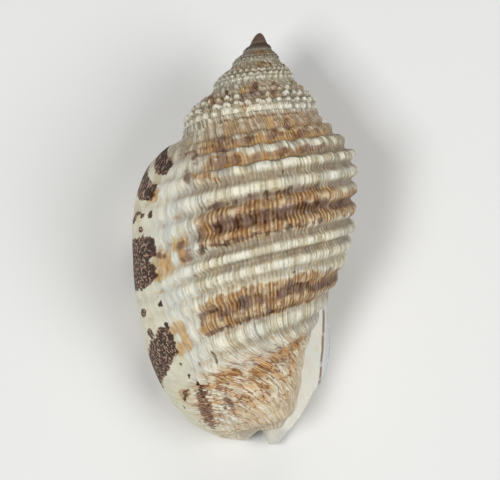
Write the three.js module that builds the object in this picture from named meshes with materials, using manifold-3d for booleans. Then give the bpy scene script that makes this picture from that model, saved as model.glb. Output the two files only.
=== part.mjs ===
// A stout sea shell with a long last whorl, ridged by spiral cords: one closed solid, in millimetres.
//
// The shell is worked out about its coil axis, with the apex at the origin, the front end at -Y and the
// back of the shell at +Z. It coils to the left over the back. It is then tipped to lie on its mouth side:
// +Z up, +Y towards the apex, the floor at Z = 0 and the origin under the middle of the shell.

import * as THREE from 'three';
import { mergeVertices } from 'three/addons/utils/BufferGeometryUtils.js';
import Module from 'manifold-3d';

// Growth: every turn of the coil is this many times the one before.
const GROWTH_PER_TURN = 1.69;

// Crests of the spiral cords where the last whorl passes the right side, as [radius, distance below the
// apex]. The first is the suture, where the whorl meets the one before; the last is its front end.
const CORD_CRESTS = [
  [8.52, 11.21], [9.13, 12.36], [10.29, 13.32], [12.13, 15.11], [13.80, 17.46], [14.14, 20.02],
  [14.11, 22.68], [13.92, 25.58], [13.80, 28.22], [13.19, 30.63], [12.35, 33.20], [11.07, 35.96],
  [9.78, 38.76], [8.30, 41.50], [7.10, 44.26], [6.35, 47.47], [5.95, 50.96], [5.15, 54.60], [3.20, 57.22],
];
const VALLEY_DEPTH = 1.0;
const KNOB_HEIGHT = 0.6;
const KNOB_SPACING = 15;

// The early whorls show only the cords above this one, and are a little shorter and rounder there.
const SEAM_CORD = 5.3;
const EARLY_SHORTENING = 1.9;
const EARLY_SWELL = 0.6;
// The spire leans a little to the left, most at half its height.
const SPIRE_LEAN = 0.3;
const SPIRE_HEIGHT = 16;
// Towards the lip the middle of the whorl slides forward and its front end stays where it is.
const LATE_SLIDE = 2.33;
const LATE_FRONT_SLIDE = 0.29;
const LATE_FRONT_SWELL = 0.95;

// Angles along the coil, in degrees: 0 at the right side, 90 over the back, 180 at the left side.
const STEP = 7.5;
const SPIRE_START = -1222.5;
const BODY_END = 150;
const LIP_END = 217.5;
const MOUTH_START = LIP_END - 360;

// The thickened outer lip: its centre line as [across, below the apex, height over the coil axis].
const LIP_LINE = [
  [-10.7, 14.7, -5.2], [-12.3, 16.2, -7.4], [-13.9, 18.3, -9.0], [-15.4, 21.0, -9.9], [-16.45, 25.5, -10.1],
  [-16.6, 31.6, -9.05], [-16.1, 38.0, -7.95], [-14.6, 45.1, -6.8], [-12.1, 50.9, -5.8],
  [-8.5, 55.1, -5.1], [-4.7, 57.2, -4.7], [-1.9, 57.8, -4.4],
];
const LIP_RADIUS = 2.04;
const LIP_START_RADIUS = 0.55;
const TEETH = 16;
const TOOTH = { length: 2.6, width: 1.0, height: 1.1 };

// The shield over the mouth side: cross-sections at a distance below the apex, each a ring of
// [across, height over the coil axis] from the edge at the mouth, under the belly, to the free edge.
const SHIELD = [
  { below: 16.2, ring: [[-7.2, -9.2], [-3.6, -12.0], [0.3, -12.6], [2.6, -11.7], [-1.0, -8.5], [-5.0, -6.5]] },
  { below: 18.6, ring: [[-9.8, -8.1], [-5.4, -12.0], [0.5, -13.0], [5.2, -11.9], [2.0, -8.0], [-6.0, -5.0]] },
  { below: 22.0, ring: [[-10.3, -7.6], [-5.6, -11.8], [1.0, -13.0], [7.2, -10.9], [3.0, -7.0], [-5.0, -4.0]] },
  { below: 27.0, ring: [[-9.9, -7.3], [-5.4, -10.9], [1.0, -12.0], [8.6, -9.5], [4.5, -6.0], [-4.0, -3.0]] },
  { below: 31.5, ring: [[-9.1, -7.0], [-4.8, -10.0], [1.4, -10.9], [9.2, -8.6], [6.6, -6.0], [-3.0, -2.5]] },
  { below: 36.0, ring: [[-8.0, -6.5], [-3.8, -9.0], [2.0, -9.5], [9.5, -8.7], [6.4, -5.2], [-2.5, -1.5]] },
  { below: 40.0, ring: [[-6.7, -6.2], [-2.6, -8.1], [2.6, -8.6], [9.5, -9.3], [5.4, -4.2], [-1.5, -1.0]] },
  { below: 45.0, ring: [[-5.3, -5.9], [-1.6, -7.4], [3.0, -7.9], [9.95, -8.95], [5.0, -3.2], [-0.5, -0.8]] },
  { below: 49.3, ring: [[-3.8, -5.5], [-0.4, -6.7], [3.4, -7.2], [9.2, -7.9], [4.6, -2.6], [0.0, -0.6]] },
  { below: 52.0, ring: [[-2.7, -5.3], [0.2, -6.4], [3.4, -6.8], [7.75, -6.8], [4.1, -2.3], [0.5, -0.6]] },
  { below: 55.3, ring: [[-1.2, -4.9], [0.9, -5.8], [3.2, -6.1], [5.95, -5.9], [3.2, -1.8], [1.0, -0.7]] },
  { below: 57.4, ring: [[0.2, -4.5], [1.4, -5.2], [2.8, -5.5], [4.3, -5.2], [2.8, -1.8], [1.2, -1.0]] },
  { below: 58.8, ring: [[0.9, -4.2], [1.5, -4.8], [2.3, -5.0], [3.1, -4.7], [2.4, -2.4], [1.4, -1.8]] },
  { below: 59.7, ring: [[1.2, -3.9], [1.6, -4.3], [2.0, -4.4], [2.4, -4.1], [2.0, -3.1], [1.5, -2.9]] },
];
const SHIELD_RING_POINTS = 20;
const NOTCH = { centre: [0.1, 59.6, -3.2], radii: [0.62, 2.1, 3.2] };

// How the shell lies: the coil axis slopes down to the front, and the floor is this far under the apex.
const SLOPE = 10;
const APEX_HEIGHT = 16.35;

// The hollow behind the mouth runs this far back along the coil, in steps of the grid.
const HOLLOW_STEPS = [5, 8, 11, 15, 19, 24, 29];
const HOLLOW_WALL = 1.2;
const HOLLOW_FLOOR = 0.5;
const HOLLOW_FRONT = 0.88;

// Rows of the grid between the suture and the front end, as cord numbers: whole numbers are crests.
const ROWS = [0, 0.5, 1, 1.5, 2];
for (let cord = 3; cord <= 12; cord += 1) {
  ROWS.push(cord - 0.5, cord - 0.18, cord + 0.18);
}
for (let cord = 13; cord <= 17; cord += 1) {
  ROWS.push(cord - 0.5, cord);
}
ROWS.push(18);
const SEAM_ROW = ROWS.indexOf(5.5);
const LAST_ROW = ROWS.length - 1;
const COLUMNS_PER_TURN = 360 / STEP;
const LAST_COLUMN = (LIP_END - SPIRE_START) / STEP;
const MOUTH_COLUMN = LAST_COLUMN - COLUMNS_PER_TURN;
const BODY_COLUMN = (BODY_END - SPIRE_START) / STEP;
const LIP_COLUMN = BODY_COLUMN + 4;

const smooth = THREE.MathUtils.smoothstep;
const mix = THREE.MathUtils.lerp;
const radians = THREE.MathUtils.degToRad;

const cordCurve = new THREE.CatmullRomCurve3(
  CORD_CRESTS.map(([radius, below]) => new THREE.Vector3(radius, below, 0)),
  false,
  'catmullrom',
);
const lipCurve = new THREE.CatmullRomCurve3(
  LIP_LINE.map(([across, below, height]) => new THREE.Vector3(across, -below, height)),
);

function growth(angle) {
  return GROWTH_PER_TURN ** (angle / 360);
}

function onCoil(angle, radius, below) {
  const turn = radians(angle);
  const lean = SPIRE_LEAN * Math.sin(Math.PI * Math.min(1, below / SPIRE_HEIGHT));
  return new THREE.Vector3(radius * Math.cos(turn) - lean, -below, radius * Math.sin(turn));
}

// The smooth form that the crests touch, with the whorl's slow change of shape along the coil.
function crestForm(angle, cord) {
  const crest = cordCurve.getPoint(cord / (CORD_CRESTS.length - 1));
  const early = 1 - smooth(angle, MOUTH_START, 0);
  const late = Math.max(0, angle) / BODY_END;
  const shortening = cord < SEAM_CORD
    ? (cord / SEAM_CORD) ** 2.5
    : 1 - smooth(cord, SEAM_CORD, 11);
  const slide = cord < 12
    ? LATE_SLIDE * Math.sin(Math.PI * cord / 12)
    : -LATE_FRONT_SLIDE * (cord - 12) ** 2;
  const lateSwell = cord > 12 ? LATE_FRONT_SWELL * Math.sin(Math.PI * (cord - 12) / 3.5) : 0;
  const earlySwell = cord < SEAM_CORD ? EARLY_SWELL * Math.sin(Math.PI * cord / SEAM_CORD) : 0;
  const radius = crest.x + late * lateSwell + early * earlySwell;
  const below = crest.y - early * EARLY_SHORTENING * shortening + late * slide;
  return new THREE.Vector2(radius, below).multiplyScalar(growth(angle));
}

// How deep the valleys are at a cord: strong round the middle, faint at the front and near the lip.
function valleyDepth(angle, cord) {
  const rise = smooth(cord, 0.2, 3.6);
  const base = 1 - 0.45 * smooth(cord, 8.6, 9.6) - 0.35 * smooth(cord, 12, 14);
  const fade = 1 - 0.85 * smooth(angle, 105, 152);
  return VALLEY_DEPTH * rise * base * fade;
}

function surfacePoint(angle, cord) {
  const form = crestForm(angle, cord);
  const ahead = crestForm(angle, Math.min(18, cord + 0.1));
  const behind = crestForm(angle, Math.max(0, cord - 0.1));
  const normal = new THREE.Vector2(ahead.y - behind.y, behind.x - ahead.x).normalize();
  const isValley = Math.abs(cord % 1 - 0.5) < 0.01;
  const knobs = KNOB_HEIGHT * (1 - 0.55 * smooth(cord, 5, 6)) * (1 - 0.9 * smooth(angle, 100, 145));
  const dip = cord > 0.4 && cord < 15 ? knobs * (0.5 - 0.5 * Math.cos(2 * Math.PI * angle / KNOB_SPACING)) : 0;
  const drop = isValley ? valleyDepth(angle, cord) + 0.3 * dip : dip;
  form.addScaledVector(normal, -drop * growth(angle));
  return onCoil(angle, form.x, form.y);
}

function suture(angle) {
  const start = CORD_CRESTS[0];
  return onCoil(angle, start[0] * growth(angle), start[1] * growth(angle));
}

// A ring of the rolled lip: turn 0 is its outermost line, 90 the line it rests on, 180 its inner side.
function lipPoint(along, turn) {
  const centre = lipCurve.getPointAt(along);
  const tangent = lipCurve.getTangentAt(along);
  const outward = new THREE.Vector3(tangent.y, -tangent.x, 0).normalize();
  const thick = mix(LIP_START_RADIUS, LIP_RADIUS, smooth(along, 0, 0.16));
  const radius = thick * (1 - 0.3 * smooth(along, 0.85, 1));
  centre.addScaledVector(outward, radius * Math.cos(radians(turn)));
  centre.z -= radius * Math.sin(radians(turn));
  return centre;
}

// The whorl's surface bends into the rolled lip over the last columns of the grid.
function lipZonePoint(column, row, along) {
  const angle = SPIRE_START + column * STEP;
  const body = surfacePoint(angle, ROWS[row]);
  const share = smooth(along, 0, 0.07);
  if (share === 0) {
    return body;
  }
  if (column >= LIP_COLUMN) {
    const turn = 180 * (column - LIP_COLUMN) / (LAST_COLUMN - LIP_COLUMN);
    return body.lerp(lipPoint(along, turn), share);
  }
  const start = surfacePoint(BODY_END, ROWS[row]);
  const heading = start.clone().sub(surfacePoint(BODY_END - STEP, ROWS[row]));
  const end = lipPoint(along, 0);
  const reach = start.distanceTo(end);
  heading.normalize().multiplyScalar(reach / 3);
  const bend = new THREE.CubicBezierCurve3(
    start,
    start.clone().add(heading),
    end.clone().add(new THREE.Vector3(0, 0, reach / 3)),
    end,
  );
  return body.lerp(bend.getPoint((column - BODY_COLUMN) / (LIP_COLUMN - BODY_COLUMN)), share);
}

// Distance along the whorl's profile at the start of the lip, from 0 at the suture to 1 at the front.
function profileShares() {
  const lengths = [0];
  for (let row = 1; row <= LAST_ROW; row += 1) {
    const step = crestForm(BODY_END, ROWS[row]).distanceTo(crestForm(BODY_END, ROWS[row - 1]));
    lengths.push(lengths[row - 1] + step);
  }
  return lengths.map((length) => length / lengths[LAST_ROW]);
}

// Joins two lines of points with triangles, whatever their numbers of points.
function zip(triangles, left, right) {
  let a = 0;
  let b = 0;
  while (a < left.length - 1 || b < right.length - 1) {
    const nextA = (a + 1) / (left.length - 1);
    const nextB = (b + 1) / (right.length - 1);
    if (b === right.length - 1 || (a < left.length - 1 && nextA <= nextB)) {
      triangles.push([left[a], left[a + 1], right[b]]);
      a += 1;
    } else {
      triangles.push([left[a], right[b + 1], right[b]]);
      b += 1;
    }
  }
}

// Rows that a column of the spire keeps: fewer in the small whorls near the apex.
function rowsOf(column) {
  if (column > MOUTH_COLUMN) {
    return [...ROWS.keys()];
  }
  if (column >= MOUTH_COLUMN - COLUMNS_PER_TURN) {
    return [...Array(SEAM_ROW + 1).keys()];
  }
  if (column >= MOUTH_COLUMN - 2 * COLUMNS_PER_TURN) {
    return [0, 2, 7, 10, 13, SEAM_ROW];
  }
  return [0, 7, SEAM_ROW];
}

// The whole coil as one closed surface: whorls, rolled lip and the hollow behind the mouth.
function coilGeometry() {
  const points = [];
  const triangles = [];
  const names = new Map();
  const shares = profileShares();

  function add(point) {
    points.push(point);
    return points.length - 1;
  }

  function vertex(column, row) {
    if (row === SEAM_ROW && column <= MOUTH_COLUMN) {
      return vertex(column + COLUMNS_PER_TURN, 0);
    }
    const name = `${column},${row}`;
    if (!names.has(name)) {
      const angle = SPIRE_START + column * STEP;
      let point = surfacePoint(angle, ROWS[row]);
      if (row === 0) {
        point = suture(angle);
      } else if (column > BODY_COLUMN) {
        point = lipZonePoint(column, row, shares[row]);
      }
      names.set(name, add(point));
    }
    return names.get(name);
  }

  for (let column = 0; column < LAST_COLUMN; column += 1) {
    const rows = column === MOUTH_COLUMN ? rowsOf(column + 1) : rowsOf(column);
    const next = column + 1 === MOUTH_COLUMN ? rowsOf(column) : rowsOf(column + 1);
    zip(triangles, next.map((row) => vertex(column + 1, row)), rows.map((row) => vertex(column, row)));
  }

  const tip = add(new THREE.Vector3(0, 0, 0));
  const crown = rowsOf(0).map((row) => vertex(0, row)).reverse();
  for (let column = 1; column <= COLUMNS_PER_TURN; column += 1) {
    crown.push(vertex(column, 0));
  }
  for (let i = 0; i < crown.length - 1; i += 1) {
    triangles.push([tip, crown[i + 1], crown[i]]);
  }

  const front = add(onCoil(0, 0, CORD_CRESTS.at(-1)[1] + 0.4));
  for (let column = MOUTH_COLUMN; column < LAST_COLUMN; column += 1) {
    triangles.push([front, vertex(column, LAST_ROW), vertex(column + 1, LAST_ROW)]);
  }
  triangles.push([front, vertex(LAST_COLUMN, LAST_ROW), vertex(MOUTH_COLUMN, LAST_ROW)]);

  // The hollow: rings that start at the lip's inner side and the wall of the whorl before.
  const outerRows = [...ROWS.keys()];
  const innerRows = outerRows.slice(SEAM_ROW + 1).reverse();
  let ring = outerRows.map((row) => vertex(LAST_COLUMN, row));
  ring.push(...innerRows.map((row) => vertex(MOUTH_COLUMN, row)));
  for (const steps of HOLLOW_STEPS) {
    const column = LAST_COLUMN - steps;
    const angle = SPIRE_START + column * STEP;
    const outer = outerRows.map((row) => hollowPoint(angle, ROWS[row] * HOLLOW_FRONT));
    const inner = innerRows.map((row) => {
      const form = crestForm(angle - 360, ROWS[row] * HOLLOW_FRONT + SEAM_CORD * (1 - HOLLOW_FRONT));
      return onCoil(angle, form.x + HOLLOW_FLOOR, form.y + HOLLOW_FLOOR);
    });
    const next = [...outer, ...inner].map(add);
    zip(triangles, [...next, next[0]], [...ring, ring[0]]);
    ring = next;
  }
  const middle = new THREE.Vector3();
  ring.forEach((index) => middle.addScaledVector(points[index], 1 / ring.length));
  const end = add(middle);
  ring.forEach((index, i) => triangles.push([ring[(i + 1) % ring.length], index, end]));
  return closedGeometry(points, triangles);
}

// A point of the hollow's outer wall: the whorl's own form, moved inwards by the wall's thickness.
function hollowPoint(angle, cord) {
  const form = crestForm(Math.min(angle, BODY_END), cord);
  const ahead = crestForm(Math.min(angle, BODY_END), cord + 0.1);
  const behind = crestForm(Math.min(angle, BODY_END), Math.max(0, cord - 0.1));
  const normal = new THREE.Vector2(ahead.y - behind.y, behind.x - ahead.x).normalize();
  form.addScaledVector(normal, -HOLLOW_WALL - valleyDepth(angle, cord) * 0.9);
  if (angle <= BODY_END) {
    return onCoil(angle, form.x, form.y);
  }
  const inner = lipPoint(cord / 18, 180);
  const share = (angle - BODY_END) / (LIP_END - BODY_END);
  return onCoil(BODY_END, form.x, form.y).lerp(inner, share);
}

function closedGeometry(points, triangles) {
  const geometry = new THREE.BufferGeometry().setFromPoints(points);
  geometry.setIndex(triangles.flat());
  return geometry;
}

// The shield: its sections are rounded rings, joined one to the next and closed at both ends.
function shieldGeometry() {
  const points = [];
  const triangles = [];
  const rings = SHIELD.map(({ below, ring }) => {
    const corners = ring.map(([across, height]) => new THREE.Vector3(across, -below, height));
    const curve = new THREE.CatmullRomCurve3(corners, true, 'centripetal');
    return curve.getPoints(SHIELD_RING_POINTS).slice(0, -1).map((point) => points.push(point) - 1);
  });
  for (let i = 0; i < rings.length - 1; i += 1) {
    zip(triangles, [...rings[i], rings[i][0]], [...rings[i + 1], rings[i + 1][0]]);
  }
  for (const ring of [rings[0], rings.at(-1)]) {
    const middle = new THREE.Vector3();
    ring.forEach((index) => middle.addScaledVector(points[index], 1 / ring.length));
    const centre = points.push(middle) - 1;
    const forward = ring === rings[0];
    ring.forEach((index, i) => {
      const next = ring[(i + 1) % ring.length];
      triangles.push(forward ? [next, index, centre] : [index, next, centre]);
    });
  }
  return closedGeometry(points, triangles);
}

// One of the teeth inside the lip: a low ridge across the rolled edge.
function toothGeometry(along) {
  const tooth = new THREE.OctahedronGeometry(0.5);
  tooth.scale(TOOTH.length, TOOTH.width, TOOTH.height);
  const centre = lipPoint(along, 132);
  const tangent = lipCurve.getTangentAt(along).setZ(0).normalize();
  const across = new THREE.Vector3(-tangent.y, tangent.x, 0);
  const ridge = across.multiplyScalar(Math.cos(radians(42))).setZ(Math.sin(radians(42)));
  const up = new THREE.Vector3().crossVectors(ridge, tangent);
  tooth.applyMatrix4(new THREE.Matrix4().makeBasis(ridge, tangent, up));
  tooth.translate(centre.x, centre.y, centre.z);
  return tooth;
}

function notchGeometry() {
  const notch = new THREE.SphereGeometry(1, 10, 8);
  notch.scale(...NOTCH.radii);
  return notch.translate(NOTCH.centre[0], -NOTCH.centre[1], NOTCH.centre[2]);
}

const wasm = await Module();
wasm.setup();

function solid(geometry) {
  const bare = geometry.clone();
  bare.deleteAttribute('normal');
  bare.deleteAttribute('uv');
  const merged = mergeVertices(bare, 1e-6);
  return new wasm.Manifold(new wasm.Mesh({
    numProp: 3,
    vertProperties: new Float32Array(merged.attributes.position.array),
    triVerts: new Uint32Array(merged.index.array),
  }));
}

function shellGeometry() {
  let shell = solid(coilGeometry()).add(solid(shieldGeometry()));
  for (let i = 0; i < TEETH; i += 1) {
    shell = shell.add(solid(toothGeometry(0.14 + 0.72 * i / (TEETH - 1))));
  }
  shell = shell.subtract(solid(notchGeometry()));

  const mesh = shell.getMesh();
  const geometry = new THREE.BufferGeometry();
  geometry.setAttribute('position', new THREE.BufferAttribute(new Float32Array(mesh.vertProperties), 3));
  geometry.setIndex([...mesh.triVerts]);
  geometry.rotateX(radians(SLOPE));
  geometry.translate(0, 0, APEX_HEIGHT);

  // The floor takes off the last tenths where the lip and the shield touch it.
  const floor = new THREE.BoxGeometry(200, 200, 50).translate(0, 0, -25);
  const rested = solid(geometry).subtract(solid(floor)).getMesh();
  const lying = new THREE.BufferGeometry();
  lying.setAttribute('position', new THREE.BufferAttribute(new Float32Array(rested.vertProperties), 3));
  lying.setIndex([...rested.triVerts]);
  lying.computeBoundingBox();
  const middle = lying.boundingBox.getCenter(new THREE.Vector3());
  return lying.translate(-middle.x, -middle.y, 0);
}

const shell = new THREE.Mesh(
  shellGeometry(),
  new THREE.MeshStandardMaterial({ color: 0xd9cfc0, roughness: 0.45, metalness: 0 }),
);
shell.name = 'shell';

const part = new THREE.Group();
part.add(shell);

export default part;
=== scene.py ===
# %% [markdown]
# # A stout spiral sea shell
#
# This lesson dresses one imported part, a sea shell about 60 mm long that lies on its mouth side. The shell
# grew as one piece, so the scene makes one piece: a fine surface with spiral cords, knobs, a rolled and
# toothed lip and a glazed shield, painted by two materials. Everything is worked out in millimetres about
# the coil axis, tipped to lie on the floor, and handed to Blender in metres.

# %% Load the frame
import bpy
import numpy as np
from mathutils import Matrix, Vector


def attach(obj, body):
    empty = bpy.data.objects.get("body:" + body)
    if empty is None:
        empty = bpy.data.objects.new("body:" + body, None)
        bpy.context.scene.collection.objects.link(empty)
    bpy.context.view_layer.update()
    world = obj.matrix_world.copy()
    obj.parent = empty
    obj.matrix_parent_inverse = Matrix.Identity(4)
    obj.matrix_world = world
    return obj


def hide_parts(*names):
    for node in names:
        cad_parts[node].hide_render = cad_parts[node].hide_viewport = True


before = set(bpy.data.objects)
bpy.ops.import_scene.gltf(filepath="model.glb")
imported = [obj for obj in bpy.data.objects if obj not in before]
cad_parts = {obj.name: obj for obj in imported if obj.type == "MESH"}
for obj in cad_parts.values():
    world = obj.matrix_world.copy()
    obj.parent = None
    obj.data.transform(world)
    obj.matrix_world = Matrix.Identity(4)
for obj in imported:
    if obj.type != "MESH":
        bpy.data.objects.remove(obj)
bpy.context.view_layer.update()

MM = 0.001

# %% [markdown]
# ## Growth
#
# A shell keeps its shape while it grows: each turn of the coil is the turn before, made larger by one
# factor. A spiral could be drawn as a curve and swept, but a formula is shorter: the growth at an angle is
# the factor raised to the number of turns. Angle 0 is the shell's right side, 90 its back, 180 its left.

# %% The growth law and the angles where things begin
GROWTH_PER_TURN = 1.69
STEP = 1.25
COLUMNS_PER_TURN = round(360 / STEP)
SPIRE_START = -1582.5
BODY_END = 150
LIP_ROLL_START = 180
LIP_END = 217.5
MOUTH_START = LIP_END - 360


def growth(angle):
    """How many times larger the coil is at this angle than at 0: the factor to the power of the turns."""
    return GROWTH_PER_TURN ** (angle / 360)


def smooth(x, low, high):
    """0 below low, 1 above high, and between them an S-curve: 3 t squared less 2 t cubed."""
    t = np.clip((x - low) / (high - low), 0, 1)
    return t * t * (3 - 2 * t)


angles = np.arange(SPIRE_START, LIP_END + STEP / 2, STEP)
LAST_COLUMN = len(angles) - 1
MOUTH_COLUMN = LAST_COLUMN - COLUMNS_PER_TURN
BODY_COLUMN = round((BODY_END - SPIRE_START) / STEP)
print("columns along the coil:", LAST_COLUMN + 1, "and turns:", (LIP_END - SPIRE_START) / 360)

# %% [markdown]
# ## The profile
#
# Eighteen spiral cords run round the last whorl. Their crests at one place give the whorl's profile, as a
# radius and a distance below the apex. A smooth curve through few points carries the form, and the cords
# and valleys are added to it later, so each can be changed by itself.


# %% A smooth curve through points
def through(points, places, power=0.0, closed=False):
    """A curve through points, at places counted in points: 0 is the first, 1 the next, and so on.

    Between two points it is the cubic whose slopes at both ends follow the neighbours. A step between
    points counts as its length to the given power: 0 treats all steps alike, 0.5 keeps uneven ones calm.
    """
    points = np.asarray(points, float)
    if closed:
        padded = np.concatenate([points[-1:], points, points[:2]])
        last = len(points) - 1
    else:
        padded = np.concatenate([[2 * points[0] - points[1]], points, [2 * points[-1] - points[-2]]])
        last = len(points) - 2
    places = np.asarray(places, float)
    start = np.clip(np.floor(places).astype(int), 0, last)
    t = (places - start).reshape(places.shape + (1,) * (points.ndim - 1))
    p0, p1, p2, p3 = (padded[start + k] for k in range(4))
    d0 = np.linalg.norm(p1 - p0, axis=-1, keepdims=True) ** power
    d1 = np.linalg.norm(p2 - p1, axis=-1, keepdims=True) ** power
    d2 = np.linalg.norm(p3 - p2, axis=-1, keepdims=True) ** power
    slope1 = d1 * ((p1 - p0) / d0 - (p2 - p0) / (d0 + d1) + (p2 - p1) / d1)
    slope2 = d1 * ((p2 - p1) / d1 - (p3 - p1) / (d1 + d2) + (p3 - p2) / d2)
    square = 3 * (p2 - p1) - 2 * slope1 - slope2
    cube = 2 * (p1 - p2) + slope1 + slope2
    return p1 + t * (slope1 + t * (square + t * cube))


print("half way between the first two of three points:", through([[0, 0], [1, 1], [2, 0]], 0.5))

# %% Crests of the spiral cords
# Each crest at angle 0: radius, distance below the apex.
CORD_CRESTS = [
    [8.52, 11.21], [9.13, 12.36], [10.29, 13.32], [12.13, 15.11], [13.80, 17.46], [14.14, 20.02],
    [14.11, 22.68], [13.92, 25.58], [13.80, 28.22], [13.19, 30.63], [12.35, 33.20], [11.07, 35.96],
    [9.78, 38.76], [8.30, 41.50], [7.10, 44.26], [6.35, 47.47], [5.95, 50.96], [5.15, 54.60], [3.20, 57.22],
]
LAST_CORD = len(CORD_CRESTS) - 1
SEAM_CORD = 5.3
FRONT_CORD = 12
EARLY_SHORTENING = 1.9
EARLY_SWELL = 0.6
LATE_SLIDE = 2.33
LATE_FRONT_SLIDE = 0.29
LATE_FRONT_SWELL = 0.95


def crest_form(angle, cord):
    """Radius and distance below the apex of the form that the crests touch.

    It is the profile curve times the growth. The early whorls are a little shorter and rounder above the
    seam, and towards the lip the middle of the profile slides forward while its front end stays.
    """
    angle, cord = np.broadcast_arrays(angle, cord)
    crest = through(CORD_CRESTS, cord)
    early = 1 - smooth(angle, MOUTH_START, 0)
    late = np.maximum(0, angle) / BODY_END
    shortening = np.where(
        cord < SEAM_CORD, (cord / SEAM_CORD) ** 2.5, 1 - smooth(cord, SEAM_CORD, 11)
    )
    in_front = cord - FRONT_CORD
    slide = np.where(
        in_front < 0, LATE_SLIDE * np.sin(np.pi * cord / FRONT_CORD), -LATE_FRONT_SLIDE * in_front**2
    )
    late_swell = np.where(in_front > 0, LATE_FRONT_SWELL * np.sin(np.pi * in_front / 3.5), 0)
    early_swell = np.where(cord < SEAM_CORD, EARLY_SWELL * np.sin(np.pi * cord / SEAM_CORD), 0)
    radius = crest[..., 0] + late * late_swell + early * early_swell
    below = crest[..., 1] - early * EARLY_SHORTENING * shortening + late * slide
    return radius * growth(angle), below * growth(angle)


print("radius and place of the suture at the right side, in mm:", crest_form(0.0, 0.0))

# %% [markdown]
# ## Cords, valleys and knobs
#
# On the real shell the cords stand about a millimetre over narrow valleys and swell into a knob every 15
# degrees, or every 10 on the spire, where old growth edges cross them. Both are cut down from the form that
# the crests touch, so the shell never grows past its measured outline. Near the lip the relief fades, and
# slow wrinkles that follow the growing edge take over.

# %% Relief on the whorls
VALLEY_DEPTH = 1.0
KNOB_HEIGHT = 0.6
KNOB_SPACING = 15
SPIRE_KNOB_SPACING = 10
SPIRE_END = -120
SPIRE_FADE = [-160, -90]
VALLEY_FADE = [105, 155]
KNOB_FADE = [100, 145]
VALLEY_SIDE = [0.12, 0.48]
GROOVE_CORD = 0.6
GROOVE_WIDTH = 0.12
GROOVE_DEPTH = 0.3
WRINKLE_HEIGHT = 0.055
CLEARANCE = 0.03


def valley_depth(angle, cord):
    """Depth of the valleys: full round the middle, less on the spire and in front, nearly none at the lip."""
    by_suture = 0.6 * smooth(cord, 0.4, 1.4) + 0.4 * smooth(cord, 1.6, 3.6)
    in_front = 1 - 0.45 * smooth(cord, 8.6, 9.6) - 0.35 * smooth(cord, 12, 14)
    near_lip = 1 - 0.75 * smooth(angle, *VALLEY_FADE)
    early = 0.75 + 0.25 * smooth(angle, -140, -20)
    by_seam = 1 - 0.6 * (1 - smooth(angle, *SPIRE_FADE)) * smooth(cord, 3.8, 4.2)
    return VALLEY_DEPTH * by_suture * in_front * near_lip * early * by_seam


def knob_count(angle):
    """Number of knobs passed since angle 0: the angle over the spacing, which is closer on the spire."""
    closer = 1 / SPIRE_KNOB_SPACING - 1 / KNOB_SPACING
    return angle / KNOB_SPACING + np.minimum(0, angle - SPIRE_END) * closer


def relief(angle, cord):
    """How far the surface lies under the crests' form, with the share of valley and of knob at each point.

    Half way between two crests it is the valley's depth. Along a crest it follows a cosine, deepest
    midway between knobs, and each knob is a little larger or smaller than the next. A bell curve makes
    the groove beside the suture, and two sine waves the wrinkles near the lip.
    """
    angle, cord = np.broadcast_arrays(angle, cord)
    nearest = np.round(cord)
    valley = smooth(np.abs(cord - nearest), *VALLEY_SIDE)
    wander = 0.10 * np.sin(nearest * 2.4 + angle * 0.06)
    between = (0.5 - 0.5 * np.cos(2 * np.pi * (knob_count(angle) + wander))) ** 1.2
    size = 0.85 + 0.15 * np.sin(angle * 0.31 + nearest * 1.9)
    on_spire = 1 - smooth(angle, *SPIRE_FADE)
    on_first_cords = 1 - smooth(cord, 1.6, 2.6)
    height = KNOB_HEIGHT * size * (1 - 0.55 * smooth(cord, 5, 6)) * (1 - 0.9 * smooth(angle, *KNOB_FADE))
    height *= 1 + on_spire * (0.7 - 1.1 * on_first_cords)
    present = smooth(cord, 0.1, 0.3) * (1 - smooth(cord, 14, 16))
    dip = height * between * present
    groove = np.exp(-((cord - GROOVE_CORD) / GROOVE_WIDTH) ** 2)
    dip += GROOVE_DEPTH * groove * smooth(angle, SPIRE_END, 0)
    drop = valley * (valley_depth(angle, cord) + 0.3 * dip) + (1 - valley) * dip
    ripple = np.sin(angle * 0.83 + 0.4 * cord) + np.sin(angle * 1.57 + 1.3 + 0.25 * cord)
    drop += WRINKLE_HEIGHT * (2 + ripple) * smooth(angle, 95, 140)
    return drop + CLEARANCE, valley, (1 - between) * present


SPIRE_LEAN = 0.3
SPIRE_HEIGHT = 16


def on_coil(angle, radius, below):
    """A point at an angle round the coil axis; the spire leans a little to the left at half its height."""
    turn = np.radians(angle)
    lean = SPIRE_LEAN * np.sin(np.pi * np.minimum(1, below / SPIRE_HEIGHT))
    return np.stack([radius * np.cos(turn) - lean, -below + 0 * turn, radius * np.sin(turn)], axis=-1)


def profile_normal(angle, cord):
    """Unit direction out of the profile, square to the step from a cord's one side to its other."""
    ahead = crest_form(angle, np.minimum(LAST_CORD, cord + 0.1))
    behind = crest_form(angle, np.maximum(0, cord - 0.1))
    out, down = ahead[1] - behind[1], behind[0] - ahead[0]
    length = np.hypot(out, down)
    return out / length, down / length


def whorl_surface(angle, cord):
    """The whorls' surface: the crests' form, moved inwards along its normal by the relief times growth."""
    radius, below = crest_form(angle, cord)
    out, down = profile_normal(angle, cord)
    drop = relief(angle, cord)[0] * growth(angle)
    return on_coil(angle, radius - out * drop, below - down * drop)


def suture(angle):
    """The line where a whorl meets the one before: the first cord's place times growth."""
    return on_coil(angle, CORD_CRESTS[0][0] * growth(angle), CORD_CRESTS[0][1] * growth(angle))


print("depth under the crests between two cords at the back, in mm:", relief(90.0, 6.5)[0])

# %% [markdown]
# ## The rolled lip
#
# A full-grown shell of this kind stops coiling and rolls its edge into a thick lip. The lip could be a
# separate tube, but then a seam would show, so the whorl's own surface bends into it: first along a cubic
# curve from the whorl to the lip's outermost line, and then half way round the lip's centre line.

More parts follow.
